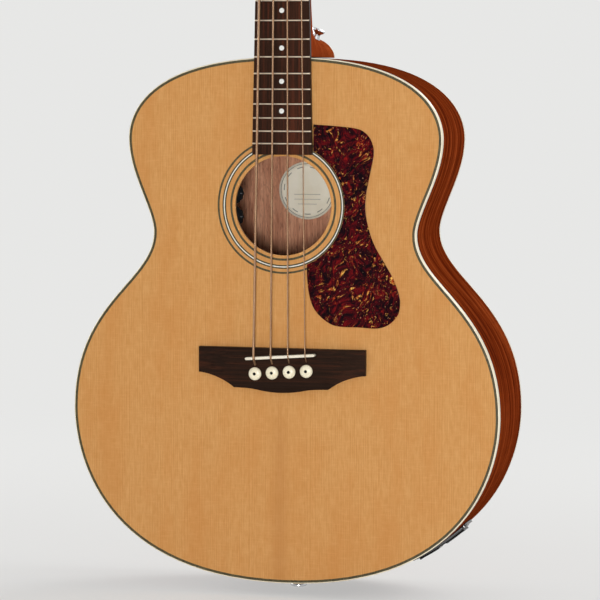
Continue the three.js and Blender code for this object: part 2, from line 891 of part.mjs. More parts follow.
// Front view of the bridge's height over its width, extruded up the neck
function bridgeProfile() {
  const half = bridgeWidth / 2;
  const crown = bridgeCrownWidth / 2;
  const shape = new THREE.Shape();
  shape.moveTo(-half, -fit);
  shape.lineTo(half, -fit);
  shape.lineTo(half, -fit - bridgeWingHeight);
  shape.lineTo(crown, -fit - bridgeHeight);
  shape.lineTo(-crown, -fit - bridgeHeight);
  shape.lineTo(-half, -fit - bridgeWingHeight);
  const length = bridgeTop - bridgeBellyFoot + 2 * overrun;
  const geometry = new THREE.ExtrudeGeometry(shape, { depth: length, bevelEnabled: false });
  return geometry.translate(0, 0, bridgeBellyFoot - overrun);
}

// A piece that lies across the bridge along the slanted saddle line
function onSaddleLine(geometry) {
  return geometry.rotateY(-slotSlant * degrees).translate(0, 0, saddleSet);
}

function saddleSlot() {
  const half = saddleLength / 2 + fit;
  const thick = saddleThickness / 2 + fit;
  const low = point(-half, -fit - bridgeHeight - overrun, -thick);
  return onSaddleLine(blockBetween(low, point(half, -fit - saddleSlotFloor, thick)));
}

function bridge() {
  const plate = slab(bridgeOutline(), -fit - bridgeHeight, bridgeHeight, bridgeCurveSteps);
  const blank = meet(plate, bridgeProfile());
  const holes = pinHoles(pinShaftRadius + fit, -fit - bridgeHeight - overrun, overrun);
  return cut(blank, saddleSlot(), ...holes, ...stringClearances());
}

// Pickup strip: lies on the floor of the saddle's slot
function pickupStrip() {
  const half = saddleLength / 2;
  const thick = saddleThickness / 2;
  const floor = -saddleSlotFloor - 2 * fit;
  const low = point(-half, floor - pickupStripHeight, -thick);
  return onSaddleLine(blockBetween(low, point(half, floor, thick)));
}

// Saddle: a bone strip with a rounded top, notched under each string
function saddle() {
  const thick = saddleThickness / 2;
  const foot = -saddleSlotFloor - pickupStripHeight - 3 * fit;
  const shape = new THREE.Shape();
  shape.moveTo(-thick, foot);
  shape.lineTo(-thick, thick - saddleTop);
  shape.absarc(0, thick - saddleTop, thick, PI, 2 * PI);
  shape.lineTo(thick, foot);
  return cut(onSaddleLine(alongX(shape, saddleLength, saddleCrownSteps)), ...stringClearances());
}

// Bridge pin: a round head over a tapered shaft
function bridgePin(i) {
  const under = -2 * fit - bridgeHeight;
  const collar = under - pinCollarHeight;
  const crown = under - pinHeadHeight;
  const tip = under + pinShaftLength;
  const pin = turned([
    [0, tip],
    [pinTipRadius, tip],
    [pinShaftRadius, under],
    [pinHeadRadius, under],
    [pinHeadRadius, collar],
    [(pinHeadRadius + pinShaftRadius) / 2, crown],
    [0, crown],
  ]);
  return pin.translate(pinSpot(i).x, 0, pinSpot(i).y);
}

function addBridge() {
  addPart("bridge", bridge(), "rosewood");
  addPart("saddle_pickup", pickupStrip(), "black");
  addPart("saddle", saddle(), "bone");
  stringDiameters.forEach((_, i) => addPart(`bridge_pin_${i + 1}`, bridgePin(i), "bone"));
}

// Pickguard: a thin plate from the fretboard round the soundhole to beside the bridge.
// Its free edge is given as shares of its width and height, from the fretboard corner clockwise.
const pickguardEdgeShares = [
  [0.291, 0.993], [0.511, 0.982], [0.613, 0.963], [0.686, 0.921], [0.714, 0.861], [0.68, 0.771],
  [0.635, 0.663], [0.626, 0.587], [0.65, 0.512], [0.718, 0.415], [0.835, 0.32], [0.923, 0.248],
  [0.985, 0.174], [1, 0.124], [0.976, 0.067], [0.881, 0.02], [0.757, 0], [0.56, 0.003],
  [0.374, 0.004], [0.26, 0.016], [0.144, 0.054], [0.065, 0.102], [0.019, 0.174], [0.001, 0.254],
];

function pickguard() {
  const left = pickguardTreble - pickguardWidth;
  const top = pickguardFoot + pickguardHeight;
  const besideBoard = boardWidth(boardEnd) / 2 + fit;
  const spots = pickguardEdgeShares.map(([x, z]) =>
    flatPoint(left + x * pickguardWidth, pickguardFoot + z * pickguardHeight),
  );
  const free = new THREE.SplineCurve(spots).getPoints(spots.length * 2);
  const low = -Math.acos(left / pickguardInnerRadius);
  const high = Math.acos(besideBoard / pickguardInnerRadius);
  const inner = Array.from({ length: pickguardArcSteps + 1 }, (_, i) => {
    const angle = low + ((high - low) * i) / pickguardArcSteps;
    return flatPoint(pickguardInnerRadius * cos(angle), soundholeCentre + pickguardInnerRadius * sin(angle));
  });
  const shape = new THREE.Shape([flatPoint(besideBoard, top), ...free, ...inner]);
  return slab(shape, -fit - pickguardThickness, pickguardThickness);
}

// Fretboard: tapered, with a crowned face, its frets pressed in
const boardEnd = fretPlace(fretCount) - boardOverhang;

function boardWidth(z) {
  return nutWidth + ((boardEndWidth - nutWidth) * (scaleLength - z)) / (scaleLength - boardEnd);
}

// Points across the board's crown at a height over the neck, from the treble edge to the bass edge
function crown(halfWidth, height) {
  return Array.from({ length: boardArcSteps + 1 }, (_, i) => {
    const x = halfWidth * (1 - (2 * i) / boardArcSteps);
    return flatPoint(x, -fit - height + boardRadius - Math.sqrt(boardRadius ** 2 - x ** 2));
  });
}

function boardRing(z) {
  const half = boardWidth(z) / 2;
  const section = [flatPoint(-half, -fit), flatPoint(half, -fit), ...crown(half, boardThickness)];
  return section.map((spot) => point(spot.x, spot.y, z));
}

function fret(number) {
  const z = fretPlace(number);
  const half = boardWidth(z) / 2;
  const top = crown(half, boardThickness + fretHeight);
  const seat = crown(half, boardThickness - fretSeat)[0].y;
  const shape = new THREE.Shape([flatPoint(-half, seat), flatPoint(half, seat), ...top]);
  const wire = new THREE.ExtrudeGeometry(shape, { depth: fretWidth, bevelEnabled: false });
  return wire.translate(0, 0, z - fretWidth / 2);
}

function fretboard() {
  const wood = loft([boardRing(boardEnd), boardRing(scaleLength)]);
  const frets = Array.from({ length: fretCount }, (_, i) => fret(i + 1));
  return join(wood, ...frets);
}

// Nut: a bone bar at the end of the fretboard, with a slot under each string
function nut() {
  const low = point(-nutWidth / 2, -fit - nutHeight, nutFoot);
  const high = point(nutWidth / 2, -fit, nutFoot + nutThickness);
  return cut(blockBetween(low, high), ...stringClearances());
}

// Neck: shaft, heel, tenon and headstock of one piece of wood
function neckRing(z, depth) {
  const half = boardWidth(z) / 2;
  return Array.from({ length: neckSideSteps + 1 }, (_, i) => {
    const angle = (PI * i) / neckSideSteps;
    const across = Math.sign(cos(angle)) * Math.abs(cos(angle)) ** (2 / neckRoundness);
    return point(half * across, depth * Math.abs(sin(angle)) ** (2 / neckRoundness), z);
  });
}

const heelFace = bodyTop + fit;
const heelEnd = rimDepthAtNeck - heelCapThickness - fit;

// Spot on the heel's surface at an angle from the treble side and at a depth
function heelSpot(angle, depth) {
  const left = (heelEnd - depth) / (heelEnd - heelStart);
  const reach = heelCapReach + (heelRootReach - heelCapReach) * left ** heelSweepPower;
  const rootHalf = (neckRootShare * boardWidth(heelFace)) / 2;
  const half = heelCapWidth / 2 + (rootHalf - heelCapWidth / 2) * left ** heelFlarePower;
  const across = Math.sign(cos(angle)) * Math.abs(cos(angle)) ** (2 / heelRoundness);
  return point(half * across, depth, heelFace + reach * Math.abs(sin(angle)) ** (2 / heelRoundness));
}

function heelRing(depth) {
  return Array.from({ length: heelSteps + 1 }, (_, i) => heelSpot((PI * i) / heelSteps, depth));
}

function tenon(clearance) {
  const half = tenonWidth / 2 + clearance;
  return blockBetween(
    point(-half, tenonTop - clearance, bodyTop - tenonLength - clearance),
    point(half, tenonFoot + clearance, heelFace + overrun),
  );
}

// Outline of the headstock: shoulders above the nut, near-parallel sides and a low crowned top
function headOutline() {
  const neck = nutWidth / 2;
  const half = headWidth / 2;
  const corner = headLength - headCrown - headCornerRadius;
  const shoulder = headLength - headCrown;
  const crownHalf = half - headCornerRadius;
  const shape = new THREE.Shape();
  shape.moveTo(-neck, 0);
  shape.bezierCurveTo(-neck, headShoulder / 2, -half, headShoulder / 2, -half, headShoulder);
  shape.lineTo(-half, corner);
  shape.quadraticCurveTo(-half, shoulder, -crownHalf, shoulder);
  shape.quadraticCurveTo(0, headLength + headCrown, crownHalf, shoulder);
  shape.quadraticCurveTo(half, shoulder, half, corner);
  shape.lineTo(half, headShoulder);
  shape.bezierCurveTo(half, headShoulder / 2, neck, headShoulder / 2, neck, 0);
  return shape;
}

const postHoles = (from, to) =>
  stringDiameters.map((_, i) => rodAlongY(postShaftRadius + fit, from, to, postSpot(i).x, postSpot(i).y));

// Pocket in the headstock's face that gives a wrench its way to the truss rod's nut
function rodPocket() {
  const half = rodPocketWidth / 2;
  const low = point(-half, -overrun, headFoot);
  return blockBetween(low, point(half, rodChannelDepth, headFoot + rodPocketLength));
}

function neck() {
  const shaft = loft([neckRing(heelFace, neckDepthAtBody), neckRing(headFoot, neckDepthAtNut)]);
  const levels = Array.from({ length: heelLevels + 1 }, (_, i) => (i / heelLevels) ** heelLevelPower);
  const heel = loft(levels.map((level) => heelRing(heelStart + (heelEnd - heelStart) * level)));
  const headBlank = slab(headOutline(), 0, headThickness, headCurveSteps);
  const headWood = cut(headBlank, ...postHoles(-overrun, headThickness + overrun));
  const whole = join(shaft, heel, tenon(0), headWood.applyMatrix4(head.matrix));
  const channelHalf = rodChannelWidth / 2;
  const channel = blockBetween(
    point(-channelHalf, -overrun, heelFace + rodStart),
    point(channelHalf, rodChannelDepth, headFoot + rodNutLength),
  );
  return cut(whole, channel, rodPocket());
}

function heelCap() {
  const rim = heelRing(heelEnd).map((spot) => flatPoint(spot.x, spot.z));
  return slab(new THREE.Shape(rim), heelEnd + fit, heelCapThickness);
}

// Truss rod: a bar in the neck's channel, whose stud carries the adjusting nut
const rodCentre = rodChannelDepth - fit - rodNutRadius;

function trussRod() {
  const half = rodChannelWidth / 2 - fit;
  const low = point(-half, fit, heelFace + rodStart + fit);
  const bar = blockBetween(low, point(half, rodChannelDepth - fit, headFoot - fit));
  return join(bar, rodAlongZ(rodStudRadius, headFoot - 2 * fit, headFoot + rodStudLength, 0, rodCentre));
}

function trussNut() {
  const body = rodAlongZ(rodNutRadius, headFoot, headFoot + rodNutLength, 0, rodCentre);
  const boreEnd = headFoot + rodStudLength + fit;
  const bore = rodAlongZ(rodStudRadius + fit, headFoot - overrun, boreEnd, 0, rodCentre);
  const end = headFoot + rodNutLength;
  const socket = rodAlongZ(rodSocketRadius, end - rodSocketDepth, end + overrun, 0, rodCentre, hexSides);
  return cut(body, bore, socket);
}

function addNeck() {
  addPart("neck", neck(), "neckWood");
  addPart("heel_cap", heelCap(), "cream");
  addPart("fretboard", fretboard(), "rosewood");
  addPart("nut", nut(), "bone");
  addPart("truss_rod", trussRod(), "steel");
  addPart("truss_nut", trussNut(), "brass");
}

// Headstock's face veneer and the cover over the truss rod's pocket
function addHeadFace() {
  const veneerFront = -fit - veneerThickness;
  const pocket = rodPocket().applyMatrix4(intoHead);
  const veneer = slab(headOutline(), veneerFront, veneerThickness, headCurveSteps);
  addPart("headstock_veneer", cut(veneer, pocket, ...postHoles(-overrun, overrun)), "gloss", head);
  const half = rodCoverWidth / 2;
  const narrow = half * rodCoverTaperShare;
  const end = rodCoverStart + rodCoverLength;
  const shape = new THREE.Shape();
  shape.moveTo(-half, rodCoverStart);
  shape.lineTo(-half, rodCoverStart + rodCoverLength / 3);
  shape.bezierCurveTo(-half, end - rodCoverLength / 3, -narrow, end, 0, end);
  shape.bezierCurveTo(narrow, end, half, end - rodCoverLength / 3, half, rodCoverStart + rodCoverLength / 3);
  shape.lineTo(half, rodCoverStart);
  const cover = slab(shape, veneerFront - fit - rodCoverThickness, rodCoverThickness, headCurveSteps);
  addPart("truss_cover", cover, "gloss", head);
}

// Tuners: a post with its gear, a plate with two ears, and a worm shaft with its key
const plateFront = headThickness + fit;
const plateRear = plateFront + tunerPlateThickness;
const wormDepth = plateRear + fit + wormRadius;
const gearFront = wormDepth - gearThickness / 2;
const gearRear = gearFront + gearThickness;
const wormDrop = gearRadius + gearClearance + wormRadius;

function gear() {
  const spots = Array.from({ length: gearTeeth * gearPointShares.length }, (_, k) => {
    const tooth = Math.floor(k / gearPointShares.length);
    const [turn, height] = gearPointShares[k % gearPointShares.length];
    const angle = (2 * PI * (tooth + turn)) / gearTeeth;
    const radius = gearRadius - gearToothDepth * (1 - height);
    return flatPoint(radius * cos(angle), radius * sin(angle));
  });
  return slab(new THREE.Shape(spots), gearFront, gearThickness);
}

function tunerPost() {
  const base = -2 * fit - veneerThickness;
  const flange = base - postFlangeHeight;
  const cap = postCapHeight - postHeight;
  const edge = postCapRadius - postCapRadius * postChamferShare;
  const post = turned([
    [0, gearRear + postEndHeight],
    [postShaftRadius, gearRear + postEndHeight],
    [postShaftRadius, base],
    [postFlangeRadius, base],
    [postFlangeRadius, flange],
    [postRadius, flange],
    [postRadius, cap],
    [postCapRadius, cap],
    [postCapRadius, cap - postCapHeight / 2],
    [edge, -postHeight],
    [0, -postHeight],
  ], boreSteps);
  const slotHalf = postSlotWidth / 2;
  const slot = blockBetween(
    point(-slotHalf, -postHeight - overrun, -postCapRadius - overrun),
    point(slotHalf, postSlotDepth - postHeight, postCapRadius + overrun),
  );
  return cut(join(post, gear()), slot);
}

function tunerPlate() {
  const half = tunerPlateWidth / 2;
  const middle = -tunerPlateDrop;
  const plate = blockBetween(
    point(-half, plateFront, middle - tunerPlateLength / 2),
    point(half, plateRear, middle + tunerPlateLength / 2),
  );
  const earGap = wormLength / 2 + 2 * fit;
  const ears = [-1, 1].map((end) => {
    const [a, b] = [end * earGap, end * (earGap + earThickness)].sort((p, q) => p - q);
    return blockBetween(
      point(a, plateRear - tunerPlateThickness / 2, -wormDrop - earWidth / 2),
      point(b, wormDepth + earWidth / 2, -wormDrop + earWidth / 2),
    );
  });
  const reach = earGap + earThickness + overrun;
  const bores = [
    rodAlongX(wormShaftRadius + fit, -reach, reach, wormDepth, -wormDrop),
    rodAlongY(postShaftRadius + fit, plateFront - overrun, plateRear + overrun, 0, 0),
  ];
  return cut(join(plate, ...ears), ...bores);
}

// Key: the worm, its shaft and a flat rounded button, along X towards the headstock's edge
function tunerKey(side) {
  const earGap = wormLength / 2 + 2 * fit;
  const tail = earGap + earThickness + wormShaftRadius;
  const neckStart = tunerPlateWidth / 2 + fit;
  const buttonStart = (headWidth - postSpread) / 2 + keyStandoff;
  const rings = keyWidthShares.map((share, k) => {
    const along = side * (buttonStart + (keyLength * k) / (keyWidthShares.length - 1));
    return Array.from({ length: keySteps }, (_, s) => {
      const angle = (2 * PI * s) / keySteps;
      const thick = (keyThickness * keyThicknessShares[k]) / 2;
      return point(along, wormDepth + thick * sin(angle), -wormDrop + ((keyWidth * share) / 2) * cos(angle));
    });
  });
  return join(
    loft(rings),
    rodAlongX(wormRadius, -wormLength / 2, wormLength / 2, wormDepth, -wormDrop),
    rodAlongX(wormShaftRadius, -side * tail, side * (buttonStart + keyLength / 2), wormDepth, -wormDrop),
    rodAlongX(keyNeckRadius, side * neckStart, side * (buttonStart + keyLength / 8), wormDepth, -wormDrop),
  );
}

function addTuners() {
  stringDiameters.forEach((_, i) => {
    const spot = postSpot(i);
    const side = Math.sign(spot.x);
    const tuner = new THREE.Group();
    tuner.position.set(spot.x, 0, spot.y);
    head.add(tuner);
    addPart(`tuner_plate_${i + 1}`, tunerPlate(), "chrome", tuner);
    addPart(`tuner_post_${i + 1}`, tunerPost(), "chrome", tuner);
    addPart(`tuner_key_${i + 1}`, tunerKey(side), "chrome", tuner);
  });
}

// Strings: each cord with the ball that holds it under the bridge plate
function addStrings() {
  stringRoutes.forEach((route, i) => {
    const { x, y: z } = pinSpot(i);
    const half = ballLength / 2;
    const ball = rodAlongX(ballRadius, x - half, x + half, route[0].y, z + pinShaftRadius + fit + ballRadius);
    addPart(`string_${i + 1}`, join(tube(route, stringDiameters[i] / 2, stringSides), ball), "bronze");
    console.log(`string ${i + 1}: winding's least gap to itself ${windingGapOf(i).toFixed(2)} mm`);
  });
}

// Strap button: stands square on the heel's curved side
function addStrapButton() {
  const angle = strapButtonAngle * degrees;
  const spot = heelSpot(angle, strapButtonDepth);
  const nudge = strapButtonFoot / 2;
  const round = heelSpot(angle + nudge / heelCapWidth, strapButtonDepth).sub(spot);
  const down = heelSpot(angle, strapButtonDepth + nudge).sub(spot);
  const outwards = down.cross(round).normalize();
  const button = turned([
    [0, 0],
    [strapButtonFoot, 0],
    [strapButtonFoot, strapButtonLipShare * strapButtonHeight],
    [strapButtonWaist, 2 * strapButtonLipShare * strapButtonHeight],
    [strapButtonWaist, (1 - 3 * strapButtonLipShare) * strapButtonHeight],
    [strapButtonRadius, (1 - 2 * strapButtonLipShare) * strapButtonHeight],
    [strapButtonRadius, (1 - strapButtonLipShare) * strapButtonHeight],
    [strapButtonFoot, strapButtonHeight],
    [0, strapButtonHeight],
  ]);
  const seat = new THREE.Group();
  seat.position.copy(spot).addScaledVector(outwards, fit);
  seat.quaternion.setFromUnitVectors(point(0, 1, 0), outwards);
  instrument.add(seat);
  addPart("strap_button", button, "chrome", seat);
}

// End pin: a strap pin and jack in one barrel through the tail block, held by its nut inside
function addEndPin() {
  const outer = -endPinProud;
  const wall = sideThickness + fit + tailBlockThickness + fit;
  const flange = outer + endPinRim;
  const barrel = turned([
    [0, outer + jackSocketDepth],
    [jackSocketRadius, outer + jackSocketDepth],
    [jackSocketRadius, outer],
    [endPinRadius - endPinChamfer, outer],
    [endPinRadius, outer + endPinChamfer],
    [endPinRadius, flange],
    [endPinWaist, flange + endPinChamfer],
    [endPinWaist, -fit - endPinCollar],
    [endPinFlange, -fit - endPinCollar / 2],
    [endPinFlange, -fit],
    [jackBarrelRadius, -fit],
    [jackBarrelRadius, wall],
    [jackNutRadius, wall],
    [jackNutRadius, wall + jackNutThickness],
    [jackBarrelRadius, wall + jackNutThickness],
    [jackBarrelRadius, wall + jackTailLength],
    [0, wall + jackTailLength],
  ]);
  barrel.rotateX(PI / 2).translate(0, endPinDepth, bodyBottom);
  addPart("end_pin_jack", barrel, "chrome");
}

// Preamp: a small housing under the soundboard whose two wheels reach into the soundhole
const wheelSpots = [1, -1].map((way) => flatPoint(wheelShift, soundholeCentre + (way * wheelSpread) / 2));
const preampFront = topThickness + fit;
const wheelFront = preampFront + (preampDepth - wheelThickness) / 2;

function thumbwheel(spot) {
  const steps = wheelNotches * 2;
  const rim = Array.from({ length: steps }, (_, k) => {
    const radius = wheelRadius - (k % 2) * wheelNotchDepth;
    const angle = (2 * PI * k) / steps;
    return flatPoint(radius * cos(angle), radius * sin(angle));
  });
  const shape = new THREE.Shape(rim);
  shape.holes.push(circleShape(wheelBoreRadius, 0, 0));
  return slab(shape, wheelFront, wheelThickness, boreSteps / 2).translate(spot.x, 0, spot.y);
}

function preamp() {
  const half = preampLength / 2;
  const box = blockBetween(
    point(preampOuterFace, preampFront, soundholeCentre - half),
    point(preampInnerFace, preampFront + preampDepth, soundholeCentre + half),
  );
  const low = wheelFront - wheelClearance;
  const high = wheelFront + wheelThickness + wheelClearance;
  const slots = wheelSpots.map((spot) => rodAlongY(wheelRadius + wheelClearance, low, high, spot.x, spot.y));
  const axles = wheelSpots.map((spot) => rodAlongY(wheelAxleRadius, low - fit, high + fit, spot.x, spot.y));
  return join(cut(box, ...slots), ...axles);
}

function addPreamp() {
  addPart("preamp", preamp(), "black");
  addPart("volume_wheel", thumbwheel(wheelSpots[0]), "black");
  addPart("tone_wheel", thumbwheel(wheelSpots[1]), "black");
}

// Battery box: stands in a hole in the treble side near the tail. In its group, X points out of the
// side, Y to the back and Z along the rim, and X is zero on the side's outer face.
const batteryStation = stationOn(outlineCurves.at(-1), batteryPlaceShare);
const batterySeat = new THREE.Group();
batterySeat.position.set(batteryStation.spot.x, batteryDepthPlace, batteryStation.spot.y);
batterySeat.rotation.y = Math.atan2(-batteryStation.normal.y, batteryStation.normal.x);
batterySeat.updateMatrix();

const pocketLength = batteryLength + 2 * fit + drawerContactSpace;
const drawerLength = pocketLength + 2 * drawerWall;
const drawerWidth = batteryThickness + 2 * fit + drawerWall;
const drawerDepth = batteryWidth + 2 * fit + drawerWall;
const cavityLength = drawerLength + 2 * fit;
const cavityWidth = drawerWidth + 2 * fit;
const cavityDepth = drawerDepth + fit;
const boxFront = fit + boxFlangeThickness;

// Block in the battery group: from one X to another, and centred in Y and Z
function batteryBlock(from, to, length, width) {
  return blockBetween(point(from, -length / 2, -width / 2), point(to, length / 2, width / 2));
}

function batteryHole() {
  const length = cavityLength + 2 * boxWall + 2 * fit;
  const width = cavityWidth + 2 * boxWall + 2 * fit;
  return batteryBlock(-cavityDepth, overrun, length, width).applyMatrix4(batterySeat.matrix);
}

function addBattery() {
  instrument.add(batterySeat);
  const flange = batteryBlock(fit, boxFront, boxFlangeLength, boxFlangeWidth);
  const shellLength = cavityLength + 2 * boxWall;
  const shellWidth = cavityWidth + 2 * boxWall;
  const shell = batteryBlock(-cavityDepth - boxWall, boxFront, shellLength, shellWidth);
  const cavity = batteryBlock(-cavityDepth, boxFront + overrun, cavityLength, cavityWidth);
  addPart("battery_box", cut(join(flange, shell), cavity), "black", batterySeat);

  const tray = batteryBlock(-drawerDepth, boxFront + drawerFace, drawerLength, drawerWidth);
  const floor = -drawerWidth / 2 + drawerWall;
  const pocket = blockBetween(
    point(-drawerDepth + drawerWall, -pocketLength / 2, floor),
    point(0, pocketLength / 2, drawerWidth / 2 + overrun),
  );
  addPart("battery_drawer", cut(tray, pocket), "black", batterySeat);

  const cellTop = -drawerDepth + drawerWall + fit;
  const cellFoot = -pocketLength / 2 + fit;
  const cell = blockBetween(
    point(cellTop, cellFoot, floor + fit),
    point(cellTop + batteryWidth, cellFoot + batteryLength, floor + fit + batteryThickness),
  );
  const terminals = [-1, 1].map((way) =>
    rodAlongY(
      batteryTerminalRadius,
      cellFoot + batteryLength - fit,
      cellFoot + batteryLength + batteryTerminalHeight,
      cellTop + batteryWidth / 2 + (way * batteryTerminalSpread) / 2,
      floor + fit + batteryThickness / 2,
    ),
  );
  addPart("battery", join(cell, ...terminals), "steel", batterySeat);
}

addBody();
addPart("label", label(), "paper");
addBraces();
addBridge();
addPart("pickguard", pickguard(), "tortoise");
addNeck();
instrument.add(head);
addHeadFace();
addTuners();
addStrings();
addStrapButton();
addEndPin();
addPreamp();
addBattery();

instrument.position.set(0, -endPinDepth, endPinProud - bodyBottom);
const bass = new THREE.Group();
bass.add(instrument);

export default bass;
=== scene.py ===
import math

import bpy
from mathutils import Matrix, Vector


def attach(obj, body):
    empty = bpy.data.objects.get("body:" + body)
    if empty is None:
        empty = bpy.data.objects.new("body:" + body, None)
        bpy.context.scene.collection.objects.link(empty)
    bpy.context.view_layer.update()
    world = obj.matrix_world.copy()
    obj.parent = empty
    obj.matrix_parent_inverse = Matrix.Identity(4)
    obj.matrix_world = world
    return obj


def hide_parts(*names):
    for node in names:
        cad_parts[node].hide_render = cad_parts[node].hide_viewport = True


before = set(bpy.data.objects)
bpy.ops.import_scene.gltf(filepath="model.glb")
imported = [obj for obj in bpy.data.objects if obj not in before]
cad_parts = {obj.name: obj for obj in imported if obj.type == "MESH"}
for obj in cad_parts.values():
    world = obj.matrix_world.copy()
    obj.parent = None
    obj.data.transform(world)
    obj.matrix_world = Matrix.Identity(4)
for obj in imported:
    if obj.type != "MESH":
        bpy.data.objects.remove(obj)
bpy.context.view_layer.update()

# Soundboard: a flat spruce plate, 3 mm thick, of two halves joined on the centre line, under amber
# lacquer. It is let in between the bindings and has a round soundhole below the fretboard.
# Pieces are drawn in millimetres: X to the treble side, Y back from the soundboard's face, Z up
# from the saddle line. instrument turns that into metres in the frame.
scale_length = 781


def fret_place(number):
    return scale_length / 2 ** (number / 12)


body_top = fret_place(17)
body_length = 526.5
body_bottom = body_top - body_length
pin_depth = 65
pin_proud = 13
saddle_line = Vector((0, -pin_depth, pin_proud - body_bottom))
shift = Matrix.Translation
instrument = shift(saddle_line / 1000) @ Matrix.Scale(0.001, 4)
binding_width = 1.8
top_thickness = 3
hole_radius = 49.3
hole_height = 145
growth_line = 0.0021


def bezier(ends, share):
    """A place on a curve of two ends and two handles."""
    a, b, c, d = map(Vector, ends)
    rest = 1 - share
    return rest**3 * a + 3 * rest**2 * share * b + 3 * rest * share**2 * c + share**3 * d


def half_outline():
    """The four curves of the treble half, from the neck end past the waist to the tail."""
    corners = ((0, 0), (161.2, 81.2), (135, 175.3), (219.8, 354.8), (0, body_length))
    top, upper, waist, lower, tail = [Vector((x, body_top - down)) for x, down in corners]
    rise, fall = top.y - upper.y, upper.y - waist.y
    flare, foot = waist.y - lower.y, lower.y - tail.y
    return (
        (top, top + Vector((0.985 * upper.x, 0)), upper + Vector((0, 0.138 * rise)), upper),
        (upper, upper - Vector((0, 0.389 * fall)), waist + Vector((0, 0.236 * fall)), waist),
        (waist, waist - Vector((0, 0.278 * flare)), lower + Vector((0, 0.605 * flare)), lower),
        (lower, lower - Vector((0, 0.286 * foot)), tail + Vector((0.871 * lower.x, 0)), tail),
    )


def mirrored(spots):
    """The same spots on the other side, in reverse order."""
    return [Vector((-spot.x, *spot[1:])) for spot in reversed(spots)]


def rim(steps=30):
    """Places and outward normals round the body, down the treble side and back up the bass one."""
    half = [Vector((0, body_top))]
    for curve in half_outline():
        half += [bezier(curve, (i + 1) / steps) for i in range(steps)]
    places = half + mirrored(half[1:-1])
    stations = []
    for i, spot in enumerate(places):
        run = (places[(i + 1) % len(places)] - places[i - 1]).normalized()
        stations.append((spot, Vector((-run.y, run.x))))
    return stations


body_rim = rim()


def inset(distance):
    return [spot - normal * distance for spot, normal in body_rim]


def only(piece):
    """Makes a piece the one that is selected and active."""
    bpy.ops.object.select_all(action="DESELECT")
    piece.select_set(True)
    bpy.context.view_layer.objects.active = piece


def edit(piece, *steps):
    """Runs steps of mesh editing, each on the whole piece."""
    only(piece)
    bpy.ops.object.mode_set(mode="EDIT")
    for step in steps:
        bpy.ops.mesh.select_all(action="SELECT")
        step()
    bpy.ops.object.mode_set(mode="OBJECT")
    return piece


def face_outwards():
    bpy.ops.mesh.normals_make_consistent(inside=False)


def modify(piece, kind, **settings):
    """Gives a piece a modifier and applies it."""
    only(piece)
    modifier = piece.modifiers.new(kind, kind)
    for name, value in settings.items():
        setattr(modifier, name, value)
    bpy.ops.object.modifier_apply(modifier=modifier.name)
    return piece


def plate(name, outline, front, thickness):
    """A flat piece: a filled ring set on an outline in X and Z, extruded towards the back."""
    bpy.ops.mesh.primitive_circle_add(vertices=len(outline), fill_type="NGON")
    piece = bpy.context.object
    piece.name = piece.data.name = name
    for vertex, (x, z) in zip(piece.data.vertices, outline):
        vertex.co = (x, front, z)
    push = {"value": (0, thickness, 0)}
    edit(piece, lambda: bpy.ops.mesh.extrude_region_move(TRANSFORM_OT_translate=push))
    return edit(piece, face_outwards)


def smooth(piece, angle=40):
    only(piece)
    bpy.ops.object.shade_smooth_by_angle(angle=math.radians(angle))
    return piece


def soften(piece, width, segments=3, angle=40):
    """Rounds a piece's sharp edges and keeps its flat faces flat in the light."""
    limit = math.radians(angle)
    modify(piece, "BEVEL", width=width, segments=segments, limit_method="ANGLE", angle_limit=limit)
    return modify(smooth(piece, angle), "WEIGHTED_NORMAL", keep_sharp=True)


def settle(piece, where):
    """Moves a piece's mesh from its drawing to its place in the frame."""
    piece.data.transform(where)
    if where.determinant() < 0:
        piece.data.flip_normals()
    piece.data.update()
    return piece


def carve(piece, tool, way="DIFFERENCE"):
    """Cuts one piece out of another, or leaves only what the two share."""
    modify(piece, "BOOLEAN", object=tool, operation=way, solver="EXACT")
    bpy.data.objects.remove(tool)
    return piece


def rod(radius, low, high, where, steps=64):
    """A round bar along the Z of a place, from one height to another."""
    bpy.ops.mesh.primitive_cylinder_add(
        vertices=steps, radius=radius, depth=high - low, location=(0, 0, (low + high) / 2)
    )
    piece = bpy.context.object
    piece.data.transform(where @ piece.matrix_world)
    piece.matrix_world = Matrix.Identity(4)
    return piece


inwards = Matrix.Rotation(math.radians(-90), 4, "X")


def across_top(x, z):
    """A place on the soundboard whose own Z runs back into the body."""
    return shift((x, 0, z)) @ inwards


def fit(piece, finish, slot, *solids, body="root", where=instrument):
    """Settles a piece, gives it finish and body, and puts it in the place of its solids. The slot
    is not used.
    """
    if where:
        settle(piece, where)
    piece.data.materials.clear()
    piece.data.materials.append(finish.material)
    if solids:
        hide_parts(*solids)
    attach(piece, body)
    return piece


def tint(red, green, blue):
    """A colour as it is seen, 0 to 255, as the shader wants it."""
    return [
        (value / 255 / 12.92 if value <= 10 else ((value / 255 + 0.055) / 1.055) ** 2.4)
        for value in (red, green, blue)
    ] + [1]


class Nodes:
    """A node tree, to which nodes are added one at a time."""

    def __init__(self, tree):
        self.tree = tree

    def feed(self, socket, value):
        if isinstance(value, bpy.types.NodeSocket):
            self.tree.links.new(value, socket)
        else:
            socket.default_value = value

    def add(self, kind, feeds, out=0, **settings):
        node = self.tree.nodes.new("ShaderNode" + kind)
        for name, value in settings.items():
            setattr(node, name, value)
        for socket, value in feeds.items():
            self.feed(node.inputs[socket], value)
        return node.outputs[out]

    def math(self, operation, *values):
        return self.add("Math", dict(enumerate(values)), operation=operation)


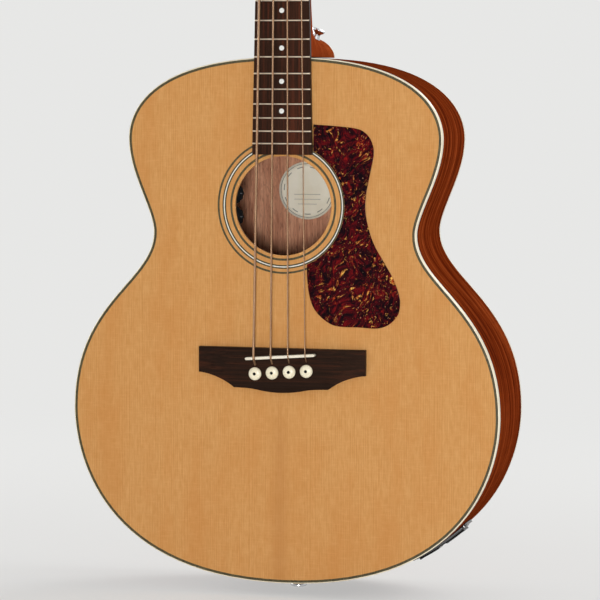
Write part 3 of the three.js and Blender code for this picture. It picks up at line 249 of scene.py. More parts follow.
class Finish(Nodes):
    """A surface, whose texture nodes end in its shader."""

    def __init__(self, name, **values):
        self.material = bpy.data.materials.new(name)
        self.material.use_nodes = True
        super().__init__(self.material.node_tree)
        self.shader = self.tree.nodes["Principled BSDF"]
        self.set(**values)

    def set(self, **values):
        for name, value in values.items():
            self.feed(self.shader.inputs[name.replace("_", " ")], value)

    def place(self, source="Object"):
        return self.add("TexCoord", {}, out=source)

    def stretch(self, vector, scale, location=(0, 0, 0)):
        return self.add("Mapping", {"Vector": vector, "Scale": scale, "Location": location})

    def parts(self, vector):
        return self.add("SeparateXYZ", {0: vector}).node.outputs

    def vector(self, x, y, z):
        return self.add("CombineXYZ", {0: x, 1: y, 2: z})

    def times(self, first, second):
        return self.math("MULTIPLY", first, second)

    def plus(self, first, second):
        return self.math("ADD", first, second)

    def noise(self, vector, scale, detail, roughness=0.5, distortion=0.0):
        """Noise at one scale, or at a scale for each direction."""
        if isinstance(scale, tuple):
            vector, scale = self.stretch(vector, scale), 1
        feeds = {"Vector": vector, "Scale": scale, "Detail": detail, "Roughness": roughness}
        return self.add("TexNoise", {**feeds, "Distortion": distortion})

    def ranged(self, value, low, high, start=0.0, end=1.0):
        feeds = {"Value": value, "From Min": low, "From Max": high, "To Min": start, "To Max": end}
        return self.add("MapRange", feeds, interpolation_type="SMOOTHSTEP")

    def ramp(self, value, *stops):
        socket = self.add("ValToRGB", {"Fac": value})
        colours = socket.node.color_ramp
        for _ in stops[2:]:
            colours.elements.new(0.5)
        for element, (position, colour) in zip(colours.elements, stops):
            element.position, element.color = position, colour
        return socket

    def mix(self, share, first, second):
        return self.add("Mix", {0: share, 6: first, 7: second}, out=2, data_type="RGBA")

    def bump(self, height, depth, strength, normal=None):
        feeds = {"Height": height, "Distance": depth, "Strength": strength}
        if normal:
            feeds["Normal"] = normal
        return self.add("Bump", feeds)


def spruce_finish():
    """Fine growth lines up the neck's way, a darker streak on the joint, under gloss lacquer."""
    gleam = tint(232, 180, 116)
    spruce = Finish("amber_spruce", Roughness=0.32, Specular_IOR_Level=0.35, Specular_Tint=gleam)
    joint_offset = 0.003
    streak_top, streak_full, streak_width = 0.21, 0.16, 0.019
    place = spruce.place()
    parts = spruce.parts(place)
    height = parts["Z"]
    folded = spruce.math("ABSOLUTE", spruce.plus(parts["X"], joint_offset))
    grain = spruce.vector(folded, 0.0, spruce.times(height, 0.02))
    wander = spruce.noise(grain, 60, 2, 0.5)
    widened = spruce.plus(folded, spruce.times(wander, 0.012))
    wave = spruce.math("SINE", spruce.times(widened, 2 * math.pi / growth_line))
    late_wood = spruce.ranged(wave, 0.1, 1.0)
    patches = spruce.vector(folded, 0.0, spruce.times(height, 0.16))
    lines = spruce.noise(patches, 480, 4, 0.62)
    strength = spruce.ranged(spruce.noise(patches, 150, 3), 0.3, 0.7, 0.1, 0.72)
    pale_tone = spruce.ramp(lines, (0.32, tint(195, 139, 80)), (0.68, tint(208, 156, 98)))
    lined = spruce.mix(spruce.times(late_wood, strength), pale_tone, tint(184, 126, 68))
    broad = spruce.noise(place, (30, 1, 9), 5, 0.6)
    toned = spruce.mix(spruce.ranged(broad, 0.4, 0.7, 0.0, 0.5), lined, tint(193, 130, 70))
    silk = spruce.noise(place, (70, 1, 620), 3, 0.6)
    toned = spruce.mix(spruce.ranged(silk, 0.45, 0.75, 0.0, 0.22), toned, tint(220, 168, 110))
    ragged = spruce.noise(place, (90, 1, 9), 3)
    below = spruce.ranged(height, streak_top, streak_full)
    spread = spruce.plus(folded, spruce.times(ragged, 0.008))
    near = spruce.ranged(spread, streak_width, 0.002)
    streak = spruce.times(spruce.times(near, below), 0.5)
    spruce.set(
        Base_Color=spruce.mix(streak, toned, tint(180, 122, 68)),
        Normal=spruce.bump(late_wood, 0.00002, 0.4),
    )
    return spruce


spruce = spruce_finish()
soundboard = plate("soundboard_plate", inset(binding_width), 0, top_thickness)
carve(soundboard, rod(hole_radius, -5, 8, across_top(0, hole_height), 160))
soften(soundboard, 0.35)
fit(soundboard, spruce, "spruce_top", "soundboard")

# Purfling and rosette: strips and rings of dyed and white wood let into the top, flush with it. The
# purfling lies over the binding's inner edge, and the rosette has a white ring between dark ones.
purfling_start = 1.0
purfling_width = 2.5
inlay_proud = 0.04
inlay_depth = 0.7
rosette_rings = (
    ("inner", 52.4, 54.6, "dark"),
    ("lower_line", 58.9, 60.3, "dark"),
    ("middle", 60.3, 61.3, "white"),
    ("upper_line", 61.3, 62.7, "dark"),
    ("outer", 65.7, 67.7, "dark"),
)


def placed(name, data):
    """A new object of some data, in the scene."""
    thing = bpy.data.objects.new(name, data)
    bpy.context.collection.objects.link(thing)
    return thing


def skin(name, rings, loop=False):
    """A surface over rings of places, closed on itself or capped, with a UV map along it."""
    size = len(rings[0])
    around, along = [0.0], [0.0]
    for i in range(size):
        around.append(around[-1] + (rings[0][(i + 1) % size] - rings[0][i]).length / 1000)
    for r in range(len(rings)):
        along.append(along[-1] + (rings[(r + 1) % len(rings)][0] - rings[r][0]).length / 1000)
    faces, places = [], []
    for r in range(len(rings) if loop else len(rings) - 1):
        here, there = r * size, (r + 1) % len(rings) * size
        for i in range(size):
            j = (i + 1) % size
            faces.append((here + i, here + j, there + j, there + i))
            places += [around[i], along[r], around[i + 1], along[r]]
            places += [around[i + 1], along[r + 1], around[i], along[r + 1]]
    if not loop:
        last = (len(rings) - 1) * size
        faces += [tuple(range(size)), tuple(range(last + size - 1, last - 1, -1))]
        places += [0.0] * (4 * size)
    mesh = bpy.data.meshes.new(name)
    mesh.from_pydata([spot for ring in rings for spot in ring], [], faces)
    mesh.uv_layers.new(name="along").data.foreach_set("uv", places)
    return smooth(edit(placed(name, mesh), face_outwards))


def band(name, stations, section, loop=True):
    """A strip that follows the rim: its section is pairs of inset and of depth at a height."""
    rings = []
    for spot, normal in stations:
        ring = []
        for distance, depth in section:
            place = spot - normal * distance
            ring.append(Vector((place.x, depth(place.y) if callable(depth) else depth, place.y)))
        rings.append(ring)
    return skin(name, rings, loop)


def flat_section(outer, inner, front, back):
    return ((outer, front), (inner, front), (inner, back), (outer, back))


def on_circle(radius, angle):
    return radius * math.cos(angle), radius * math.sin(angle)


def round_ring(name, inner, outer, steps=144):
    stations = []
    for i in range(steps):
        normal = Vector(on_circle(1, 2 * math.pi * i / steps))
        stations.append((Vector((0, hole_height)) + normal * outer, normal))
    return band(name, stations, flat_section(0, outer - inner, -inlay_proud, inlay_depth))


def fine_finish(
    name, dark, light, scale=(900, 900, 300), detail=3, low=0.35, depth=0.00001, **values
):
    """A surface of fine fibres, or of fine scratches along Z."""
    fine = Finish(name, **values)
    fibre = fine.noise(fine.place(), scale, detail)
    colour = fine.ramp(fibre, (low, dark), (1 - low, light))
    fine.set(Base_Color=colour, Normal=fine.bump(fibre, depth, 0.4))
    return fine


inlay_shine = {"Roughness": 0.36, "Specular_IOR_Level": 0.25}
dark_inlay = fine_finish("dyed_purfling", tint(58, 52, 32), tint(86, 78, 50), **inlay_shine)
white_inlay = fine_finish("white_ring", tint(222, 220, 210), tint(236, 235, 227), **inlay_shine)
purfling = band(
    "top_purfling",
    body_rim,
    flat_section(purfling_start, purfling_start + purfling_width, -inlay_proud, inlay_depth),
)
fit(purfling, dark_inlay, "dark_wood")
for name, inner, outer, tone in rosette_rings:
    ring = round_ring(f"rosette_{name}", inner, outer)
    if tone == "white":
        fit(ring, white_inlay, "cream_plastic", "rosette")
    else:
        fit(ring, dark_inlay, "dark_wood")

# Braces, bridge plate and linings: bars, a plate and kerfed strips of pale bare wood, glued under
# the soundboard and into its corners. The neck and tail blocks are of a redder wood.


def wood_finish(
    name, *tones, along="Z", reach=0.16, pore=0.0, pores=None, figure=0.25, broad=38, **values
):
    """Wood of three tones, with grain along Z, X or the UV map's V and pores as dark dashes."""
    wood = Finish(name, **values)
    place = wood.place("UV" if along == "V" else "Object")
    parts = wood.parts(place)
    if along == "V":
        place = wood.vector(parts["X"], 0.0, parts["Y"])
    if along == "X":
        place = wood.vector(parts["Z"], parts["Y"], parts["X"])
    grain = wood.noise(place, (420, 420, 7), 4, 0.6, 0.4)
    ribbon = wood.noise(place, (broad, broad, broad / 17), 3, 0.5, 0.3)
    share = wood.plus(wood.times(grain, 1 - figure), wood.times(ribbon, figure))
    colour = wood.ramp(share, *zip((0.5 - reach, 0.5, 0.5 + reach), tones))
    normal = wood.bump(grain, 0.00002, 0.5)
    if pore:
        dashes = wood.noise(place, (1500, 1500, 75), 2, 0.5)
        mask = wood.ranged(dashes, 0.42, 0.36)
        colour = wood.mix(wood.times(mask, pore), colour, pores)
        normal = wood.bump(mask, -0.00004, 0.5, normal)
    wood.set(Base_Color=colour, Normal=normal)
    return wood


def coat_solid(finish, *names):
    """Gives solids that keep their own shape a finish."""
    for name in names:
        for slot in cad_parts[name].material_slots:
            slot.material = finish.material


pale_wood = wood_finish(
    "bare_spruce", tint(176, 136, 86), tint(205, 170, 120), tint(222, 192, 146), Roughness=0.72
)
block_tones = (tint(150, 96, 62), tint(178, 124, 84), tint(196, 144, 102))
block_wood = wood_finish(
    "bare_block_wood", *block_tones, pore=0.4, pores=tint(110, 66, 42), Roughness=0.75
)
coat_solid(pale_wood, "x_brace_bass", "x_brace_treble", "upper_brace", "tone_bar", "bridge_plate")
for lining in ("top_bass", "top_treble", "back_bass", "back_treble"):
    coat_solid(pale_wood, f"lining_{lining}")
coat_solid(block_wood, "neck_block", "tail_block")

# Sides: two strips of mahogany, 2.2 mm thick, bent to the outline. They meet at the tail and at the
# neck's tenon, and the treble one has a hole for the battery box near the tail.
side_thickness = 2.2
top_binding_depth = 6.5
back_binding_depth = 4.5
battery_share = 0.636
battery_depth_place = 64
pocket_depth, pocket_width, pocket_length = 28.6, 19.9, 56.1
hole_margin = 3.6
neck_end_depth, tail_end_depth = 111, 130


def rim_depth(z):
    """Depth of the body at its rim, which grows evenly from the neck to the tail."""
    return neck_end_depth + (tail_end_depth - neck_end_depth) * (body_top - z) / body_length


def back_rim(offset):
    """Depth of a place that far in front of the back's rim, as a function of its height."""
    return lambda z: rim_depth(z) - offset


def battery_place():
    """The box's seat: X points out of the side, Y to the back, Z along the rim."""
    curve = half_outline()[-1]
    spot = bezier(curve, battery_share)
    run = (bezier(curve, battery_share + 0.001) - bezier(curve, battery_share - 0.001)).normalized()
    turn = math.atan2(-run.x, -run.y)
    return shift((spot.x, battery_depth_place, spot.y)) @ Matrix.Rotation(turn, 4, "Y")


def block(name, low, high):
    """A box between two corners."""
    bpy.ops.mesh.primitive_cube_add(size=1)
    piece = bpy.context.object
    piece.name = piece.data.name = name
    low, high = Vector(low), Vector(high)
    piece.data.transform(shift((low + high) / 2) @ Matrix.Diagonal((high - low).to_4d()))
    return piece


def centred(name, start, end, depth, length):
    """A box from one X to another, centred in Y and Z."""
    return block(name, (start, -depth / 2, -length / 2), (end, depth / 2, length / 2))


battery_seat = battery_place()
mahogany_tones = (tint(73, 22, 7), tint(118, 44, 15), tint(156, 71, 31))
mahogany_pores = {"pore": 0.7, "pores": tint(66, 25, 9)}
side_grain = {**mahogany_pores, "along": "V", "figure": 0.55, "broad": 140, "reach": 0.13}
side_mahogany = wood_finish(
    "side_mahogany", *mahogany_tones, **side_grain, Roughness=0.4, Specular_IOR_Level=0.0
)
half_count = len(body_rim) // 2 + 1
bass_rim = [body_rim[0], *reversed(body_rim[half_count - 1:])]
for name, stations in (("bass", bass_rim), ("treble", body_rim[:half_count])):
    section = flat_section(0, side_thickness, top_binding_depth, back_rim(back_binding_depth))
    side = band(f"{name}_side", stations, section, loop=False)
    if name == "treble":
        hole_size = (pocket_width + hole_margin, pocket_length + hole_margin)
        carve(side, settle(centred("battery_hole", -pocket_depth, 10, *hole_size), battery_seat))
        smooth(side)
    fit(side, side_mahogany, "mahogany_body", f"side_{name}")

# Back: a mahogany plate of two matched halves, 3 mm thick, pressed to a 14 mm arch and glued to the
# slanting rim. Its inner face is bare and shows pinkish brown through the soundhole.
back_arch = 13.8
back_thickness = 3
arch_centre = body_bottom + 0.52 * body_length
arch_shares = (0.03, 0.12, 0.24, 0.36, 0.48, 0.6, 0.7, 0.8, 0.88, 0.95, 1)


def arch_ring(share, offset):
    ring = []
    for spot in inset(binding_width):
        x, z = spot.x * share, arch_centre + (spot.y - arch_centre) * share
        ring.append(Vector((x, rim_depth(z) + back_arch * (1 - share**2) - offset, z)))
    return ring


def matched_wood(name, *tones, **values):
    """Wood whose grain is mirrored on the centre line, as in a plate of two matched halves."""
    wood = wood_finish(name, *tones, **values)
    for node in [n for n in wood.tree.nodes if n.type == "TEX_COORD"]:
        for link in list(node.outputs["Object"].links):
            target = link.to_socket
            parts = wood.parts(node.outputs["Object"])
            folded = wood.math("ABSOLUTE", parts["X"])
            wood.feed(target, wood.vector(folded, parts["Y"], parts["Z"]))
    return wood


back_grain = {**mahogany_pores, "figure": 0.5, "reach": 0.12}
back_mahogany = matched_wood(
    "back_mahogany", *mahogany_tones, **back_grain, Roughness=0.34, Specular_IOR_Level=0.08
)
bare_tones = (tint(172, 112, 84), tint(204, 144, 112), tint(228, 172, 138))
bare_grain = {"pore": 0.6, "pores": tint(112, 66, 48), "figure": 0.35, "reach": 0.13}
inner_mahogany = matched_wood(
    "bare_mahogany", *bare_tones, **bare_grain, Roughness=0.7, Specular_IOR_Level=0.2
)
rings = [arch_ring(share, back_thickness) for share in arch_shares]
rings += [arch_ring(share, 0) for share in reversed(arch_shares)]
back = skin("back_plate", rings)
fit(back, back_mahogany, "mahogany_body", "back")
back.data.materials.append(inner_mahogany.material)
inner_sides = (len(arch_shares) - 1) * len(rings[0])
inner_middle = len(back.data.polygons) - 2
for face in (*back.data.polygons[:inner_sides], back.data.polygons[inner_middle]):
    face.material_index = 1

# Bindings: cream plastic strips let into the corners of the body, front and back, scraped flush and
# rounded on their outer edge.


def plastic_finish(name, dark, light, **values):
    """Cast plastic with faint flow lines and a polished face."""
    plastic = Finish(name, **values)
    flow = plastic.noise(plastic.place(), (60, 60, 45), 4, 0.6, 1.2)
    fine = plastic.noise(plastic.place(), 900, 2)
    colour = plastic.ramp(flow, (0.3, dark), (0.7, light))
    plastic.set(Base_Color=colour, Normal=plastic.bump(fine, 0.00001, 0.3))
    return plastic


cream = plastic_finish(
    "cream_binding", tint(228, 214, 184), tint(242, 233, 208), Roughness=0.3, Specular_IOR_Level=0.4
)

round_edge = ((0, 0.8), (0.13, 0.36), (0.36, 0.13), (0.8, 0))
top_section = [(binding_width, 0), (binding_width, top_binding_depth), (0, top_binding_depth)]
top_section += round_edge
top_binding = band("top_edge_binding", body_rim, top_section)
fit(top_binding, cream, "cream_plastic", "top_binding")
back_section = [(binding_width, back_rim(0)), (binding_width, back_rim(back_binding_depth))]
back_section += [(0, back_rim(back_binding_depth))]
back_section += [(distance, back_rim(depth)) for distance, depth in round_edge]
back_binding = band("back_edge_binding", body_rim, back_section)
fit(back_binding, cream, "cream_plastic", "back_binding")

# Label: a round paper glued inside the back under the soundhole, left blank apart from its printed
# border, a ring of dashes and three ruled lines.
label_x = -7.4
label_height = 156
label_radius = 30
dash_count = 11


def turned(name, profile, steps=48):
    """A turned piece: a profile of radius and height spun round Z."""
    mesh = bpy.data.meshes.new(name)
    edges = [(i, i + 1) for i in range(len(profile) - 1)]
    mesh.from_pydata([(radius, 0, height) for radius, height in profile], edges, [])
    turn = {"steps": steps, "angle": 2 * math.pi, "center": (0, 0, 0), "axis": (0, 0, 1)}
    piece = edit(
        placed(name, mesh),
        lambda: bpy.ops.mesh.spin(**turn),
        lambda: bpy.ops.mesh.remove_doubles(threshold=0.0005),
        face_outwards,
    )
    return smooth(piece)


def paper_finish():
    paper = Finish("label_paper", Roughness=0.85)
    border_radius, dashes_radius = 0.0278, 0.0246
    border_half, dashes_half, rule_half = 0.0003, 0.0005, 0.00022
    rules = ((-0.004, 0.014), (-0.009, 0.014), (-0.014, 0.01))
    place = paper.place()
    centre = (-label_x / 1000, 0, -(label_height + pin_proud - body_bottom) / 1000)
    parts = paper.parts(paper.stretch(place, (1, 1, 1), centre))
    flat = paper.vector(parts["X"], parts["Z"], 0.0)
    radius = paper.add("VectorMath", {0: flat}, out="Value", operation="LENGTH")

    def near(value, middle, half):
        away = paper.math("ABSOLUTE", paper.math("SUBTRACT", value, middle))
        return paper.math("LESS_THAN", away, half)

    angle = paper.math("ARCTAN2", parts["Z"], parts["X"])
    wave = paper.math("SINE", paper.times(angle, dash_count))
    dash = paper.math("GREATER_THAN", wave, 0.1)
    dashes = paper.times(near(radius, dashes_radius, dashes_half), dash)
    ink = paper.math("MAXIMUM", near(radius, border_radius, border_half), dashes)
    for row, reach in rules:
        rule = paper.times(near(parts["Z"], row, rule_half), near(parts["X"], 0.0, reach))
        ink = paper.math("MAXIMUM", ink, rule)
    fibre = paper.noise(place, 700, 4, 0.6)
    age = paper.noise(place, 40, 3)
    sheet = paper.mix(paper.ranged(age, 0.35, 0.7), tint(254, 246, 226), tint(244, 234, 210))
    paper.set(
        Base_Color=paper.mix(paper.times(ink, 0.75), sheet, tint(70, 66, 62)),
        Normal=paper.bump(fibre, 0.00002, 0.4),
    )
    return paper


label = turned("paper_label_disc", [(radius, 0) for radius in (0, 6, 12, 18, 24, label_radius)], 72)
settle(label, instrument @ shift((label_x, 100, label_height)) @ inwards)
ways = {"use_project_y": True, "use_positive_direction": True, "use_negative_direction": True}
modify(label, "SHRINKWRAP", target=back, wrap_method="PROJECT", offset=0.0004, **ways)
modify(label, "SOLIDIFY", thickness=0.0003, offset=0)
fit(label, paper_finish(), "paper_label", "label", where=None)

# Neck: mahogany shaft, heel and headstock of one piece under lacquer. The shaft's back is rounded
# and runs in a fillet down to the heel, and the headstock tilts back 12 degrees behind the nut.
nut_foot = scale_length + 0.3
head_foot = nut_foot + 5.3
heel_face = body_top + 0.3
heel_end = 108.4
heel_start = 6
heel_root_reach = 76
heel_cap_reach = 20.5
heel_cap_half = 25
board_end = fret_place(23) - 11
head_turn = shift((0, 0, head_foot)) @ Matrix.Rotation(math.radians(-12), 4, "X")
head = instrument @ head_turn
head_thickness = 14.5
head_start = 27
head_shoulder = ((19, 0), (19, 18), (41, 18), (41, 36))
nut_width = 38
board_widening = 23.4
depth_at_heel, depth_at_head = 19.5, 15.6
shaft_power, heel_power = 2.3, 1.9
heel_flare = 3.2


def board_width(z):
    return nut_width + board_widening * (scale_length - z) / (scale_length - board_end)


def heel_left(depth):
    return max((heel_end - depth) / (heel_end - heel_start), 0)


def heel_reach(depth):
    return heel_cap_reach + (heel_root_reach - heel_cap_reach) * heel_left(depth) ** heel_flare


def heel_half(depth):
    root = 0.96 * board_width(heel_face) / 2
    return heel_cap_half + (root - heel_cap_half) * heel_left(depth) ** 1.2


def rounder(first, second, blend):
    """The larger of two, with a fillet where they meet."""
    near = max(blend - abs(first - second), 0) / blend
    return max(first, second) + near**2 * blend / 4


def shaft_depth(z):
    share = (z - heel_face) / (head_foot - heel_face)
    return depth_at_heel + (depth_at_head - depth_at_heel) * share


def heel_depth(z):
    """How deep the heel stands at a height over the body's edge."""
    up = z - heel_face
    if up <= heel_cap_reach:
        return heel_end
    if up >= heel_root_reach:
        return 0
    left = ((up - heel_cap_reach) / (heel_root_reach - heel_cap_reach)) ** (1 / heel_flare)
    return heel_end - (heel_end - heel_start) * left


def left_at(share, power):
    """What is left of a width at a share of its depth: power 2 makes an ellipse, more a box."""
    return max(1 - share**power, 0) ** (1 / power)


def neck_ring(z, points=26):
    """A section of the neck: the flat under the fretboard, then the rounded back."""
    half = board_width(min(z, scale_length)) / 2
    shaft = shaft_depth(min(z, head_foot))
    heel = heel_depth(z)
    deepest = min(rounder(heel, shaft, 16), heel_end) if heel else shaft
    right = []
    for i in range(points + 1):
        depth = deepest * math.sin(math.pi / 2 * i / points)
        by_shaft = half * left_at(depth / shaft, shaft_power) if depth < shaft else 0
        along = (z - heel_face) / heel_reach(depth)
        by_heel = heel_half(depth) * left_at(along, heel_power) if 0 <= along < 1 else 0
        wide = rounder(by_shaft, by_heel, 8) if by_heel and by_shaft else max(by_shaft, by_heel)
        if deepest > shaft and heel < heel_end:
            close = math.sqrt(max(1 - (depth / deepest) ** 2, 0))
            wide = min(max(wide, 5 * close), half * close ** 0.35 if close else 0)
        right.append(Vector((min(wide, half), depth, z)))
    return right + mirrored(right)


def head_outline(steps=12):
    """Shoulders above the nut, near-parallel sides and a low crowned top."""
    corners = (
        head_shoulder,
        ((41, 36), (41, 80), (41, 125), (41, 169)),
        ((41, 169), (41, 175), (38, 178), (32, 178)),
        ((32, 178), (10.67, 186), (-10.67, 186), (-32, 178)),
    )
    right = [bezier(curve, i / steps) for curve in corners[:3] for i in range(steps)]
    crown = [bezier(corners[3], i / (2 * steps)) for i in range(2 * steps + 1)]
    return right + crown + mirrored(right)


def head_half(up):
    """Half the headstock's width at a height over its foot, along its shoulder."""
    low, high = 0.0, 1.0
    for _ in range(24):
        share = (low + high) / 2
        if bezier(head_shoulder, share).y < up:
            low = share
        else:
            high = share
    return bezier(head_shoulder, high).x


def head_ring(up, points=26):
    """A section of the headstock's foot, which turns from the neck's rounded back to a flat one."""
    share = up / head_start
    share = share**2 * (3 - 2 * share)
    half, power = head_half(up), shaft_power + 9 * share
    thick = shaft_depth(head_foot) + (head_thickness - shaft_depth(head_foot)) * share
    right = []
    for i in range(points + 1):
        depth = math.sin(math.pi / 2 * i / points)
        right.append(Vector((half * left_at(depth, power), thick * depth, up)))
    return [head_turn @ place for place in right + mirrored(right)]


def joined(name, pieces):
    """Several shells made one piece."""
    only(pieces[0])
    for piece in pieces[1:]:
        piece.select_set(True)
    bpy.ops.object.join()
    pieces[0].name = pieces[0].data.name = name
    return pieces[0]


neck_tones = (tint(126, 50, 22), tint(155, 67, 30), tint(180, 88, 44))
neck_grain = {"pore": 0.6, "pores": tint(96, 32, 10), "figure": 0.4}
neck_mahogany = wood_finish(
    "neck_mahogany", *neck_tones, **neck_grain, Roughness=0.36, Specular_IOR_Level=0.0
)
levels = [heel_face + heel_cap_reach * i / 10 for i in range(10)]
heel_depths = [heel_end - (heel_end - heel_start) * (i / 36) ** 1.3 for i in range(37)]
levels += [heel_face + heel_reach(depth) for depth in heel_depths]
shaft_start = levels[-1]
levels += [shaft_start + (head_foot - 6 - shaft_start) * (i + 1) / 24 for i in range(25)]
neck_rings = [neck_ring(z) for z in levels[:-1]]
neck_rings += [head_ring(head_start * i / 10) for i in range(11)]
neck = settle(skin("neck", neck_rings), instrument)
start = head_half(head_start - 1)
outline = [Vector((start, head_start - 1))]
outline += [spot for spot in head_outline() if spot.y > head_start]
outline.append(Vector((-start, head_start - 1)))
head_wood = plate("head_wood", outline, 0, head_thickness)
soften(head_wood, 1.2)
neck = joined("neck_and_head", [neck, settle(head_wood, head)])
fit(neck, neck_mahogany, "mahogany_neck", "neck", where=None)

# Heel cap: a cream plastic plate, 2.6 mm thick, glued over the heel's end grain and filed to its
# outline. Its face lies level with the back's edge.


def heel_bow(angle):
    """Shares of the heel's half width and of its reach at an angle round it."""
    across, rise = on_circle(1, angle)
    power = 2 / heel_power
    return math.copysign(abs(across) ** power, across), abs(rise) ** power


heel_cap_outline = []
for i in range(49):
    across, rise = heel_bow(math.pi * i / 48)
    heel_cap_outline.append((heel_cap_half * across, heel_face + heel_cap_reach * rise))
heel_cap = plate("heel_cap_plate", heel_cap_outline, heel_end, 2.6)
soften(heel_cap, 0.5)
fit(heel_cap, cream, "cream_plastic", "heel_cap")

# Truss rod and its nut: a steel bar in the neck's channel, and a brass nut turned with a hex wrench
# through the pocket in the headstock's face.


def metal_finish(name, colour, roughness, grit=0.3):
    """Metal whose polish varies a little over its face."""
    metal = Finish(name, Metallic=1.0)
    wear = metal.noise(metal.place(), 260, 4, 0.6)
    fine = metal.noise(metal.place(), 2400, 2)
    worn = [value * 0.82 for value in colour[:3]] + [1]
    metal.set(
        Base_Color=metal.ramp(wear, (0.3, worn), (0.62, colour)),
        Roughness=metal.ranged(wear, 0.3, 0.7, roughness, roughness + 0.08),
        Normal=metal.bump(fine, 0.000004, grit),
    )
    return metal


coat_solid(metal_finish("rod_steel", tint(150, 152, 156), 0.4), "truss_rod")
coat_solid(metal_finish("nut_brass", tint(196, 164, 96), 0.3), "truss_nut")

# Fretboard: dark rosewood, tapered and crowned, its edges eased, glued to the neck and over the
# soundboard as far as the soundhole's rim.
board_radius = 400
board_face = 6.3


def crown_depth(x):
    """Depth of the board's face at a place across it."""
    return -board_face + board_radius - math.sqrt(board_radius**2 - x**2)


def board_section(z):
    """The board across at a height: a flat back, then the crowned face."""
    half = board_width(z) / 2
    xs = [half * (1 - k / 12) for k in range(25)]
    face = [Vector((x, crown_depth(x), z)) for x in xs]
    return [Vector((-half, 0, z)), Vector((half, 0, z)), *face]


rosewood_look = {"pore": 0.5, "pores": tint(17, 11, 9), "Roughness": 0.42}
rosewood_look["Specular_Tint"] = tint(176, 128, 104)
board_tones = (tint(26, 17, 13), tint(46, 29, 22), tint(84, 42, 28))
rosewood = wood_finish(
    "board_rosewood", *board_tones, **rosewood_look, figure=0.5, Specular_IOR_Level=0.18
)
board_levels = [board_end + (scale_length - board_end) * i / 40 for i in range(41)]
board = skin("fretboard_wood", [board_section(z) for z in board_levels])
soften(board, 0.4, 2, 60)
fit(board, rosewood, "dark_wood", "fretboard")

# Position dots: pearl discs, 5 mm across, glued into drilled holes between the frets and sanded
# flush with the board, two of them at the octave.
dot_radius = 2.5
dot_spots = [(0, number) for number in (3, 5, 7, 9, 15, 17, 19, 21)] + [(-10, 12), (10, 12)]


def pearl_finish():
    pearl = Finish("pearl", Roughness=0.18, Coat_Weight=0.5, Coat_Roughness=0.05)
    swirl = pearl.noise(pearl.place(), 420, 4, 0.6, 2.0)
    colour = pearl.ramp(
        swirl, (0.3, tint(206, 206, 200)), (0.5, tint(236, 235, 228)), (0.7, tint(220, 226, 228))
    )
    pearl.set(Base_Color=colour)
    return pearl


dots = []
for x, number in dot_spots:
    z = (fret_place(number) + fret_place(number - 1)) / 2
    dot = turned("dot", [(0, 1), (dot_radius, 1), (dot_radius, 0), (0, 0)], 40)
    dots.append(settle(dot, shift((x, crown_depth(x) - 0.06, z)) @ inwards))
fit(joined("position_dots", dots), pearl_finish(), "cream_plastic")

# Frets: 23 lengths of nickel-silver wire with a rounded crown, pressed into slots across the board,
# their ends filed at a slant.
fret_half = 0.8
fret_rise = 1.0
fret_slant = 0.7
frets = []
for number in range(1, 24):
    z = fret_place(number)
    rings = []
    half = board_width(z) / 2 - 0.2
    middle = [half - fret_slant - (half - fret_slant) * k / 7 for k in range(15)]
    for x in (half, *middle, -half):
        level = fret_rise * (0.35 if abs(x) == half else 1)
        foot = crown_depth(x) + 0.6
        ring = [Vector((x, foot, z - fret_half)), Vector((x, foot, z + fret_half))]
        for s in range(9):
            angle = math.pi * s / 8
            rise = level * math.sin(angle)
            ring.append(Vector((x, crown_depth(x) - rise, z + fret_half * math.cos(angle))))
        rings.append(ring)
    frets.append(skin("fret", rings))
nickel = metal_finish("fret_nickel", tint(222, 206, 184), 0.32, grit=0.0)
fit(joined("fret_wires", frets), nickel, "steel")

# Nut: a polished bone bar glued across the end of the fretboard. The strings lie 1.2 mm below its
# top edge, as in filed slots.
bone = plastic_finish(
    "polished_bone", tint(226, 217, 194), tint(243, 237, 221), Roughness=0.3, Coat_Weight=0.25
)
nut_face = -9.5
nut_end = nut_foot + 5
nut = block("nut_bar", (-nut_width / 2, nut_face, nut_foot), (nut_width / 2, 0, nut_end))
soften(nut, 0.7)
fit(nut, bone, "bone", "nut")

# Headstock face: a gloss black veneer, left bare, and the bell-shaped cover plate over the truss
# rod's pocket, held by three small screws.
veneer_face = -1.9
cover_thickness = 2.3
cover_half, cover_foot = 11, 3
gloss_black = plastic_finish(
    "black_gloss", tint(9, 9, 9), tint(15, 14, 14), Roughness=0.1, Specular_IOR_Level=0.35
)
veneer = plate("head_veneer", head_outline(), veneer_face, -veneer_face)
soften(veneer, 0.35)
fit(veneer, gloss_black, "gloss_black", "headstock_veneer", where=head)
cover_curve = ((-cover_half, 17.7), (-cover_half, 32.3), (-6.6, 47), (0, 47))
cover_side = [bezier(cover_curve, i / 16) for i in range(17)]
cover_outline = [Vector((-cover_half, cover_foot)), *cover_side, *mirrored(cover_side[:-1])]
cover_outline.append(Vector((cover_half, cover_foot)))
cover = plate("rod_cover", cover_outline, veneer_face - cover_thickness, cover_thickness)
soften(cover, 0.5)
fit(cover, gloss_black, "gloss_black", "truss_cover", where=head)


def screw(name, radius, rise):
    """A domed screw head with a cross slot, its own Z running into the wood."""
    dome = [(0, -rise), (radius * 0.55, -rise * 0.85), (radius * 0.92, -rise * 0.35)]
    piece = turned(name, [*dome, (radius, 0.6), (0, 0.6)], 24)
    reach, half = radius * 0.62, radius * 0.13
    for turn in (0, 90):
        blade = block("slot", (-reach, -half, -rise - 1), (reach, half, -rise * 0.35))
        carve(piece, settle(blade, Matrix.Rotation(math.radians(turn), 4, "Z")))
    return smooth(piece, 30)


def copy_of(piece, name):
    """Another of a piece, with a mesh of its own."""
    again = placed(name, piece.data.copy())
    again.data.name = name
    return again


